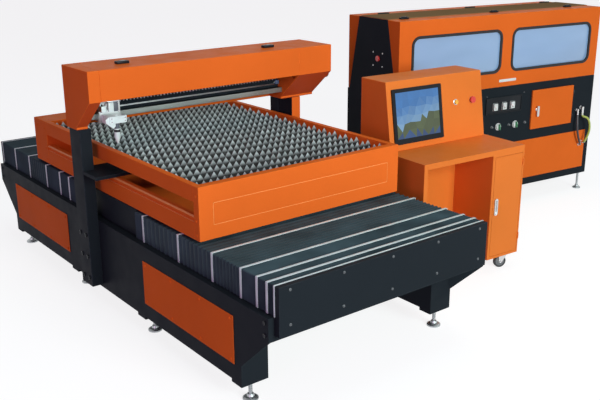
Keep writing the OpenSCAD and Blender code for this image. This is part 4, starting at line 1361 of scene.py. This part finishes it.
@dataclass
class CuttingHead:
    """Carriage on the guide bars with its motor, the focus slide and the nozzle."""

    x: float = -0.551
    y: float = -0.085
    plate_y: float = -0.014
    motor_z: float = 1.090
    motor_half: float = 0.024
    tube_z: float = 0.98
    box_z: Sequence[float] = (1.0655, 1.0965)

    def build(self) -> None:
        """Dresses the head's CAD nodes and adds the motor's case, screws and knobs."""
        edged_copy("head_carriage", ALUMINIUM, 0.0012)
        edged_copy("focus_slide", HEAD_WHITE, 0.0015)
        coat("head_pinion", SCREW_STEEL)
        recoat(edged_copy("cutting_nozzle", HEAD_WHITE, 0.0004), MOTOR_GREY,
               lambda face: face.center.z > self.tube_z)
        self.motor()
        self.carriage_screws()
        self.lens_block()

    def motor(self) -> None:
        """Builds the motor's square front flange, half grey and half white, with its corner screws."""
        front = self.plate_y - 0.044
        low, high = self.motor_z - self.motor_half, self.motor_z + self.motor_half
        form = Form()
        form.use(0).block((self.x, front - 0.0060, low), (self.x + 0.026, front, high), 0.0012)
        form.use(1).block((self.x - 0.028, front - 0.0075, low), (self.x, front, high), 0.0012)
        for x in (-0.024, 0.0225):
            for z in (-0.0195, 0.0195):
                corner = Facing.FRONT.at((self.x + x, front - 0.0065, self.motor_z + z))
                form.use(2).bolt(0.0022, 0.0012, corner, 8)
        form.piece("head_motor_front", [MOTOR_GREY, HEAD_WHITE, BOLT], "carriage", MACHINE.matrix())

    def carriage_screws(self) -> None:
        """Builds the screws of the carriage plate and of its junction box."""
        form = Form()
        for side in (-0.048, 0.048):
            for z in (1.016, 1.056, 1.130, 1.200):
                if (side, z) != (-0.048, 1.056):
                    form.bolt(0.0042, 0.0035, Facing.FRONT.at((self.x + side, self.plate_y, z)))
        form.piece("carriage_screws", [BOLT], "carriage", MACHINE.matrix())
        box = Form()
        left, front = self.x - 0.062, self.plate_y - 0.0445
        low, high = self.box_z
        box.use(0).block((left - 0.001, front, low), (left + 0.0255, front + 0.0045, high), 0.0012)
        box.use(1)
        for x in (left + 0.003, left + 0.0215):
            for z in (low + 0.004, high - 0.004):
                box.bolt(0.0016, 0.0010, Facing.FRONT.at((x, front, z)), 8)
        gland = Facing.UP.at((left + 0.012, self.plate_y - 0.022, high - 0.0015))
        box.use(2).turned(disc(0.0042, 0.008, 0.0012, 0.003), gland, 16)
        box.piece("junction_box", [HEAD_WHITE, BOLT, BLACK_PLASTIC], "carriage", MACHINE.matrix())

    def lens_block(self) -> None:
        """Builds the knob, clamp ring and screws of the focus slide and the lens tube."""
        form = Form()
        knob = Facing.RIGHT.at((self.x + 0.046, self.y + 0.020, 1.032))
        form.use(0).turned([(0.0, 0.0), (0.0075, 0.0), (0.0075, 0.006), (0.0105, 0.0068), (0.0105, 0.015),
                            (0.0095, 0.0165), (0.0, 0.0165)], knob, 18)
        ring = Matrix.Translation((self.x, self.y, 0))
        form.use(1).turned([(0.0150, 0.967), (0.0162, 0.968), (0.0162, 0.979), (0.0150, 0.980)], ring, 32)
        form.use(2)
        for x in (-0.036, 0.036):
            form.bolt(0.0036, 0.0028, Facing.FRONT.at((self.x + x, self.y - 0.024, 1.040)))
            form.bolt(0.0036, 0.0028, Facing.FRONT.at((self.x + x, self.y - 0.024, 1.023)))
        form.piece("lens_fittings", [BLACK_PLASTIC, RUBBER, BOLT], "focus", MACHINE.matrix())


@dataclass
class MovingTable:
    """Orange table with its bed of toothed slats, on the black saddle."""

    half_w: float = 0.596
    half_l: float = 0.913
    top: float = 0.880
    groove: Sequence[float] = (0.001, 0.003)
    lip_z: Sequence[float] = (0.735, 0.743)
    ledge_z: Sequence[float] = (0.713, 0.715)

    def build(self) -> None:
        """Dresses the table's CAD nodes and adds its screws."""
        near, far = (-self.half_l + depth for depth in self.groove)
        # Painted highlight: the front groove's forward faces get the lighter orange.
        recoat(edged_copy("table_front", ORANGE, 0.003), HIGHLIGHT_ORANGE,
               lambda face: face.normal.y < -0.9 and near < face.center.y < far)
        edged_copy("table_rear", ORANGE, 0.003)
        edged_copy("table_rims", ORANGE, 0.002)
        # Painted highlight: the tray's upward chamfer at the lip and the ledge below it get the lighter
        # orange.
        recoat(edged_copy("table_tray", ORANGE, 0.0015), HIGHLIGHT_ORANGE,
               lambda face: (0.5 < face.normal.z < 0.9 and self.lip_z[0] < face.center.z < self.lip_z[1])
               or (face.normal.z > 0.9 and self.ledge_z[0] < face.center.z < self.ledge_z[1]))
        edged_copy("saddle", BLACK, 0.002)
        coat("slat_bed", SLAT_STEEL)
        self.screws()

    def screws(self) -> None:
        """Builds the screws that hold the rims and the tray to the two ends."""
        form = Form()
        for side, facing in ((-1, Facing.LEFT), (1, Facing.RIGHT)):
            for y in (-0.888, 0.760, 0.880):
                for z in (0.655, 0.722, 0.835):
                    form.bolt(0.0055, 0.0028, facing.at((side * self.half_w, y, z)))
        for x in (-0.56, 0.56):
            for y in (-0.890, 0.780, 0.870):
                form.bolt(0.005, 0.0015, Facing.UP.at((x, y, self.top)))
        form.piece("table_screws", [ORANGE], "table", MACHINE.matrix())


# ---- The console ----


class Tile(Enum):
    """Families of tones in the display's picture."""

    SKY = (0.045, 0.215, 0.56)
    HAZE = (0.22, 0.42, 0.66)
    FIELD = (0.085, 0.120, 0.045)
    BAR = (0.020, 0.075, 0.22)


@dataclass
class Console:
    """Desk on casters with its leaning screen housing, door and push buttons."""

    width: float = 0.760
    desk_z: float = 0.750
    hood_front: float = 0.300
    hood_h: float = 0.380
    lean: float = 0.060
    screen_at: tuple[float, float] = (-0.528, 0.935)
    picture: tuple[float, float] = (0.316, 0.256)
    buttons: Sequence[tuple[float, float]] = ((-0.235, 0.968), (-0.107, 0.968))
    facets: tuple[int, int] = (7, 6)
    bar_top: float = -0.42
    handle_z: Sequence[float] = (0.374, 0.458)
    wheel_r: float = 0.0375
    trail: float = 0.022
    plate_z: float = 0.095
    plate_holes: Sequence[float] = (-0.023, 0.023)
    casters: Sequence[tuple[float, float, float]] = (
        (-0.055, 0.055, 160), (-0.055, 0.545, 200), (-0.727, 0.055, 20), (-0.727, 0.545, 340))

    def build(self) -> None:
        """Dresses the console's CAD nodes and adds its display, trims and caster parts."""
        edged_copy("console_shell", DESK_ORANGE, 0.0018)
        edged_copy("console_hood", DESK_ORANGE, 0.003)
        edged_copy("console_door", DESK_ORANGE, 0.0015)
        edged_copy("monitor", BLACK_PLASTIC, 0.0015)
        edged_copy("console_handle", ZINC, 0.0008)
        edged_copy("console_computer", BLACK_PLASTIC, 0.002)
        edged_copy("amber_button", AMBER, 0.0015)
        edged_copy("red_button", RED, 0.0022)
        for number in range(1, 5):
            edged_copy(f"caster_fork_{number}", ZINC, 0.0006)
            edged_copy(f"caster_wheel_{number}", TYRE, 0.0008)
        self.display()
        self.button_rings()
        self.door_trim()
        self.caster_parts()

    def on_hood(self, x: float, z: float) -> Matrix:
        """Finds a place on the leaning face of the screen housing.

        Args:
            x: the place across the console.
            z: its height.

        Returns:
            The matrix of the place, its Z pointing out of the face.
        """
        y = self.hood_front + (z - self.desk_z) * self.lean / self.hood_h
        turn = math.radians(90) - math.atan(self.lean / self.hood_h)
        return CONSOLE.matrix() @ Matrix.Translation((x, y, z)) @ Matrix.Rotation(turn, 4, "X")

    def display(self) -> None:
        """Builds the display as a mosaic of facets from a blue upper field to a green lower one."""
        bm = bmesh.new()
        bmesh.ops.create_grid(bm, x_segments=self.facets[0], y_segments=self.facets[1], size=0.5)
        for v in bm.verts:
            inner = abs(v.co.x) < 0.499 and abs(v.co.y) < 0.499
            if inner and v.co.y > self.bar_top:
                v.co.x += 0.030 * math.sin(v.co.x * 37.0 + v.co.y * 23.0)
                v.co.y += 0.028 * math.cos(v.co.x * 29.0 - v.co.y * 41.0)
        bmesh.ops.scale(bm, vec=(self.picture[0], self.picture[1], 1), verts=bm.verts)
        bmesh.ops.triangulate(bm, faces=bm.faces[:])
        tone = bm.faces.layers.float_color.new("field")
        for face in bm.faces:
            face[tone] = (*self.tile_color(face.calc_center_median()), 1.0)
        bmesh.ops.transform(bm, matrix=self.on_hood(*self.screen_at) @ Matrix.Translation((0, 0.004, 0.0073)),
                            verts=bm.verts)
        mesh = bpy.data.meshes.new("display")
        bm.to_mesh(mesh)
        bm.free()
        finished(mesh, "display", [PICTURE], "base")

    def tile_color(self, where: Vector) -> Color:
        """Chooses the colour of one facet of the display.

        Args:
            where: middle of the facet on the display.

        Returns:
            The facet's colour.
        """
        x, y = where.x / self.picture[0], where.y / self.picture[1]
        step = 0.5 + 0.5 * math.sin(x * 61.0 + y * 47.0)
        if y < self.bar_top:
            return scaled(Tile.BAR.value, 0.8 + 0.5 * step)
        divide = -0.12 + 0.30 * x
        if y > divide:
            near = max(0.0, 1.0 - (y - divide) * 2.6)
            mixed = [a + (b - a) * near for a, b in zip(Tile.SKY.value, Tile.HAZE.value)]
            return scaled(tuple(mixed), 0.94 + 0.12 * step)
        return scaled(Tile.FIELD.value, 0.85 + 0.3 * step)

    def button_rings(self) -> None:
        """Builds the bright collars of the push buttons."""
        form = Form()
        for x, z in self.buttons:
            foot = self.on_hood(x, z)
            form.turned([(0.0122, 0.0), (0.0122, 0.0042), (0.0150, 0.0042), (0.0172, 0.0030), (0.0172, 0.0),
                         (0.0122, 0.0)], foot, 40)
        form.piece("button_collars", [BOLT], "base")

    def door_trim(self) -> None:
        """Builds the screws of the door's handle."""
        form = Form()
        for z in self.handle_z:
            form.bolt(0.0035, 0.0018, Facing.FRONT.at((-0.208, -0.0068, z)), 10)
        form.piece("door_fittings", [ZINC], "pedestal_door", CONSOLE.matrix())

    def caster_parts(self) -> None:
        """Builds the hubs, axle nuts and fixing bolts of the four casters."""
        for number, (x, y, turn) in enumerate(self.casters, 1):
            swivel = Matrix.Rotation(math.radians(turn), 4, "Z")
            own = CONSOLE.matrix() @ Matrix.Translation((x, y, 0)) @ swivel
            axle = own @ Matrix.Translation((self.trail, 0, self.wheel_r))
            hub = Form()
            nuts = Form()
            for side in (-1, 1):
                out = axle @ (Facing.BACK if side > 0 else Facing.FRONT).at((0, 0, 0))
                hub.turned([(0.0045, 0.0070), (0.0270, 0.0070), (0.0270, 0.0082), (0.0180, 0.0094),
                            (0.0150, 0.0112), (0.0045, 0.0112)], out, 28)
                nuts.bolt(0.0070, 0.0040, out @ Matrix.Translation((0, 0, 0.0150)), 6)
            hub.piece(f"wheel_hub_{number}", [HUB], f"wheel_{number}")
            nuts.piece(f"axle_nuts_{number}", [BOLT], f"fork_{number}")
        form = Form()
        down = Matrix.Rotation(math.pi, 4, "X")
        for x, y, _ in self.casters:
            for dx in self.plate_holes:
                for dy in self.plate_holes:
                    hole = Matrix.Translation((x + dx, y + dy, self.plate_z))
                    form.bolt(0.0045, 0.0035, hole @ down, 6)
        form.piece("caster_bolts", [BOLT], "base", CONSOLE.matrix())


# ---- The laser cabinet ----


@dataclass
class LaserCabinet:
    """Laser cabinet: windows in gaskets, roof lid, instruments, door, cocks and hose loop."""

    length: float = 1.820
    depth: float = 0.560
    top: float = 1.370
    window_x: Sequence[float] = (-1.335, -0.472)
    window_z: float = 1.1235
    window: tuple[float, float, float] = (0.775, 0.297, 0.062)
    gasket: float = 0.018
    meters: Sequence[float] = (-0.981, -0.898, -0.822)
    switches: Sequence[tuple[str, float]] = (("left", -0.937), ("right", -0.776))
    knobs: Sequence[float] = (-0.998, -0.838, -0.684)
    lid: tuple[float, float] = (0.129, 0.431)
    hinges: Sequence[float] = (-1.621, -0.856, -0.113)
    latches: Sequence[float] = (-1.701, -0.933, -0.226)
    door_x: float = -0.634
    door_w: float = 0.412
    door_hinge_z: Sequence[float] = (0.600, 0.772)
    switch_z: float = 0.598
    knob_z: float = 0.601
    meter_z: float = 0.7425
    foot_in: tuple[float, float] = (0.035, 0.036)
    aperture_at: tuple[float, float] = (0.218, 1.117)
    loop: Sequence[Point] = (
        (-0.126, -0.030, 0.604), (-0.126, -0.031, 0.590), (-0.122, -0.036, 0.582), (-0.112, -0.048, 0.581),
        (-0.098, -0.056, 0.574), (-0.083, -0.060, 0.556), (-0.072, -0.062, 0.526), (-0.067, -0.062, 0.491),
        (-0.069, -0.060, 0.458), (-0.077, -0.055, 0.430), (-0.085, -0.048, 0.405), (-0.086, -0.040, 0.388),
        (-0.084, -0.030, 0.382))
    drain: Sequence[Point] = (
        (-0.166, -0.022, 0.610), (-0.167, -0.023, 0.596), (-0.173, -0.030, 0.570), (-0.177, -0.036, 0.542),
        (-0.177, -0.038, 0.512), (-0.170, -0.038, 0.480), (-0.159, -0.037, 0.449), (-0.146, -0.035, 0.419),
        (-0.130, -0.032, 0.391), (-0.116, -0.027, 0.370), (-0.110, -0.020, 0.363))

    def build(self) -> None:
        """Dresses the cabinet's CAD nodes and builds its windows, instruments and fittings."""
        edged_copy("cabinet_base", BLACK, 0.003)
        edged_copy("cabinet_housing", ORANGE, 0.004)
        edged_copy("roof_lid", ROOF, 0.0012)
        edged_copy("cabinet_door", ORANGE, 0.002)
        edged_copy("cabinet_handle", ZINC, 0.0015)
        coat("cabinet_feet", FOOT_STEEL)
        side, end = self.foot_in
        threads("cabinet_foot_threads", (side - self.length, -side), (end, self.depth - end), 0.116, CABINET)
        edged_copy("laser_resonator", ALUMINIUM, 0.002)
        self.windows()
        self.instruments()
        self.rotary_switches()
        self.hardware()
        self.aperture()
        self.plumbing()

    def windows(self) -> None:
        """Builds the rubber gaskets, with their inner lip, and the panes."""
        width, height, corner = self.window
        rubber, glass = Form(), Form()
        for x in self.window_x:
            foot = Facing.FRONT.at((x, 0.0, self.window_z))
            back = foot @ Matrix.Translation((0, 0, -0.012))
            rubber.frame(width - 0.0004, height - 0.0004, self.gasket, 0.0155, corner, back)
            rubber.frame(width - 0.006, height - 0.006, self.gasket - 0.006, 0.0010, corner - 0.003,
                         foot @ Matrix.Translation((0, 0, 0.0035)))
            glass.plate(width - 2 * self.gasket + 0.002, height - 2 * self.gasket + 0.002, 0.005,
                        corner - self.gasket, foot @ Matrix.Translation((0, 0, -0.010)), 0.0005, 10)
        rubber.piece("window_gaskets", [RUBBER], "base", CABINET.matrix(), ["cabinet_windows"])
        glass.piece("window_panes", [PANE], "base", CABINET.matrix())

    def instruments(self) -> None:
        """Builds the instrument plate with its three meters and their scales."""
        form = Form()
        form.use(0).block((-1.066, -0.005, 0.693), (-0.733, 0.0, 0.808), 0.0012)
        form.use(0).frame(0.333, 0.115, 0.004, 0.003, 0.004, Facing.FRONT.at((-0.8995, -0.005, 0.7505)))
        for x in self.meters:
            foot = Facing.FRONT.at((x, -0.005, self.meter_z))
            form.use(1).plate(0.044, 0.055, 0.0095, 0.003, foot, 0.0012, 3)
            form.use(0).frame(0.044, 0.055, 0.0040, 0.0012, 0.003, foot @ Matrix.Translation((0, 0, 0.0095)))
            face = foot @ Matrix.Translation((0, -0.012, 0.0097))
            for step in range(9):
                turn = face @ Matrix.Rotation(math.radians(-60 + step * 15), 4, "Z")
                long = 0.006 if step % 4 == 0 else 0.0038
                form.use(2).block((-0.0004, 0.028 - long, 0.0), (0.0004, 0.028, 0.0004), 0.0, turn)
            needle = face @ Matrix.Rotation(math.radians(38), 4, "Z")
            form.use(3).block((-0.0005, -0.002, 0.0004), (0.0005, 0.025, 0.0010), 0.0, needle)
            form.use(2).turned([(0.0, 0.0), (0.0035, 0.0), (0.0035, 0.0016), (0.0, 0.002)], face, 16)
        for x in (-1.058, -0.741):
            for z in (0.701, 0.800):
                form.use(4).bolt(0.0028, 0.0016, Facing.FRONT.at((x, -0.005, z)), 8)
        form.piece("instrument_panel", [BLACK_PLASTIC, WHITE_PLASTIC, RUBBER, RED, BLACK_OXIDE], "base",
                   CABINET.matrix(), ["panel_meters"])

    def rotary_switches(self) -> None:
        """Builds the two rotary switches: dial plate, collar and bar knob."""
        for name, x in self.switches:
            foot = Facing.FRONT.at((x, 0.0, self.switch_z))
            form = Form()
            form.use(0).turned(disc(0.020, 0.010, 0.0015, 0.0015), foot, 40)
            bar = foot @ Matrix.Translation((0, 0, 0.010))
            form.use(1).plate(0.012, 0.040, 0.012, 0.004, bar, 0.0015, 4)
            form.use(0).block((-0.001, 0.006, 0.0118), (0.001, 0.0185, 0.0126), 0.0002, bar)
            form.piece(f"{name}_switch_knob", [WHITE_PLASTIC, GREEN], f"{name}_switch", CABINET.matrix(),
                       [f"switch_{name}"])
        rings = Form()
        for _, x in self.switches:
            rings.turned([(0.0205, 0.0), (0.0205, 0.0016), (0.0245, 0.0016), (0.0255, 0.0006), (0.0255, 0.0),
                          (0.0205, 0.0)], Facing.FRONT.at((x, 0.0, self.switch_z)), 40)
        rings.piece("switch_plates", [ALUMINIUM], "base", CABINET.matrix())

    def hardware(self) -> None:
        """Builds the lid's hinges and latches, the door's hinges, the knobs and the panel screws."""
        form = Form()
        self.lid_fixings(form)
        hinge_x = self.door_x + self.door_w + 0.006
        for z in self.door_hinge_z:
            form.use(0).turned([(0.0, -0.013), (0.0055, -0.013), (0.006, -0.0122), (0.006, 0.0122),
                                (0.0055, 0.013), (0.0, 0.013)], Matrix.Translation((hinge_x, -0.008, z)), 20)
            form.use(0).block((hinge_x, -0.004, z - 0.013), (hinge_x + 0.018, 0.0, z + 0.013), 0.0008)
            form.use(1).bolt(0.0028, 0.0014, Facing.FRONT.at((hinge_x + 0.012, -0.004, z)), 8)
        for x in self.knobs:
            form.use(2).turned([(0.0, 0.0), (0.0095, 0.0), (0.0095, 0.002), (0.007, 0.003), (0.007, 0.010),
                                (0.006, 0.012), (0.0, 0.012)], Facing.FRONT.at((x, 0.0, self.knob_z)), 20)
        for x, z in ((-0.711, 0.819), (-1.058, 0.820)):
            form.use(1).bolt(0.004, 0.003, Facing.FRONT.at((x, 0.0, z)))
        form.piece("cabinet_fixings", [BLACK_PLASTIC, DULL_BOLT, HUB], "base", CABINET.matrix(),
                   ["cabinet_hardware"])
        plate = Form()
        plate.plate(0.158, 0.018, 0.001, 0.002, Facing.FRONT.at((-0.877, 0.0, 0.9195)), 0.0003, 3)
        plate.piece("bare_plate", [WHITE_PLASTIC], "base", CABINET.matrix())

    def lid_fixings(self, form: Form) -> None:
        """Adds the lid's three hinges at the back and its three latches at the front.

        Args:
            form: the form they are added to.
        """
        front, back = self.lid
        leaf_top = self.top + 0.009
        for x in self.hinges:
            axis = Facing.RIGHT.at((x - 0.038, back + 0.002, self.top + 0.006))
            for step in range(5):
                knuckle = axis @ Matrix.Translation((0, 0, step * 0.0152 + 0.0003))
                form.use(0).turned([(0.0, 0.0), (0.0045, 0.0), (0.005, 0.0006), (0.005, 0.0140),
                                    (0.0045, 0.0146), (0.0, 0.0146)], knuckle, 16)
            form.use(0).block((x - 0.038, back + 0.0075, self.top),
                              (x + 0.038, back + 0.026, leaf_top), 0.0012)
            for dx in (-0.026, 0.0, 0.026):
                form.use(1).bolt(0.0035, 0.0015, Facing.UP.at((x + dx, back + 0.017, leaf_top)), 8)
        for x in self.latches:
            form.use(0).block((x - 0.030, front - 0.026, self.top),
                              (x + 0.030, front - 0.0005, self.top + 0.011), 0.0015)
            form.use(0).block((x - 0.022, front - 0.021, self.top + 0.010),
                              (x + 0.022, front - 0.006, self.top + 0.016), 0.0018)

    def aperture(self) -> None:
        """Builds the red cap over the beam's way out, with its four screws."""
        form = Form()
        left = -self.length - 0.0041
        middle, height = self.aperture_at
        foot = Facing.LEFT.at((left, middle, height))
        form.use(0).turned([(0.0, 0.0), (0.018, 0.0), (0.018, 0.0075), (0.0165, 0.009), (0.013, 0.009),
                            (0.012, 0.010), (0.0, 0.010)], foot, 48)
        form.use(1)
        for y in (-0.050, 0.050):
            for z in (-0.048, 0.038):
                form.bolt(0.005, 0.003, Facing.LEFT.at((left, middle + y, height + z)))
        form.piece("beam_cap", [RED, BOLT], "base", CABINET.matrix(), ["aperture_cap"])

    def plumbing(self) -> None:
        """Builds the elbows and unions of the two hoses, and the hoses with their clips."""
        form = Form()
        for route, top, radius in ((self.loop, 0.647, 0.013), (self.drain, 0.632, 0.011)):
            start, end = Vector(route[0]), Vector(route[-1])
            pipe_r, rise = radius - 0.004, top - start.z
            self.nut(form, Facing.FRONT.at((start.x, 0.0, top)), radius, 0.012)
            self.spigot(form, (start.x, -0.0115, top), pipe_r, -start.y - 0.0115)
            form.turned([(0.0, 0.0), (0.0085, 0.0), (0.0085, 0.004), (pipe_r, 0.0055), (pipe_r, rise - 0.002),
                         (pipe_r + 0.001, rise), (pipe_r, rise + 0.008), (0.0, rise + 0.009)],
                        Matrix.Translation(start), 24)
            self.nut(form, Facing.FRONT.at((end.x, -0.003, end.z)), radius, 0.008)
            self.spigot(form, (end.x, -0.0105, end.z), pipe_r, -end.y - 0.0105)
        form.piece("hose_unions", [NICKEL], "base", CABINET.matrix(), ["hose_fittings"])
        hoses = Form()
        hoses.use(0).pipe(self.loop, 0.008, sides=16)
        hoses.use(1).pipe(self.drain, 0.008, sides=16)
        for route in (self.loop, self.drain):
            for step in (1, len(route) - 1):
                self.clip(hoses.use(2), Vector(route[step - 1]), Vector(route[step]))
        hoses.piece("hoses", [HOSE, DRAIN, ZINC], "base", CABINET.matrix(), ["coolant_hose"])

    def spigot(self, form: Form, foot: Point, radius: float, length: float) -> None:
        """Adds a straight pipe that comes forwards out of a union.

        Args:
            form: the form it is added to.
            foot: middle of the pipe's foot.
            radius: radius of the pipe.
            length: how far it comes forwards.
        """
        form.turned([(0.0, 0.0), (radius, 0.0), (radius, length), (0.0, length)], Facing.FRONT.at(foot), 20)

    def nut(self, form: Form, place: Matrix, radius: float, height: float) -> None:
        """Adds a hexagonal union nut with its collar.

        Args:
            form: the form it is added to.
            place: matrix of its foot, its Z pointing out.
            radius: radius of the nut.
            height: height of the nut.
        """
        form.bolt(radius, height, place, 6)
        form.turned([(0.0, height - 0.001), (radius * 0.8, height - 0.001), (radius * 0.8, height + 0.0015),
                     (0.0, height + 0.002)], place, 24)

    def clip(self, form: Form, start: Vector, end: Vector) -> None:
        """Adds a hose clip on the middle of a short run of a hose.

        Args:
            form: the form it is added to.
            start: first point of the run.
            end: last point of the run.
        """
        turn = (end - start).to_track_quat("Z", "Y").to_matrix().to_4x4()
        form.turned([(0.008, -0.003), (0.0089, -0.003), (0.0089, 0.003), (0.008, 0.003)],
                    Matrix.Translation(start.lerp(end, 0.5)) @ turn, 24)


def main() -> None:
    """Builds the studio and every sub-assembly in order."""
    logging.basicConfig(level=logging.INFO, format="%(name)s: %(message)s")
    Studio().build()
    Base().build()
    Bellows("bellows_front", -1, (0.07, 0.36, 0.61, 0.80, 0.90, 0.96)).build()
    Bellows("bellows_rear", 1, (0.10, 0.21, 0.38, 0.61, 0.81)).build()
    Gantry().build()
    CuttingHead().build()
    MovingTable().build()
    Console().build()
    LaserCabinet().build()
    bpy.context.view_layer.update()


if __name__ == "__main__":
    main()
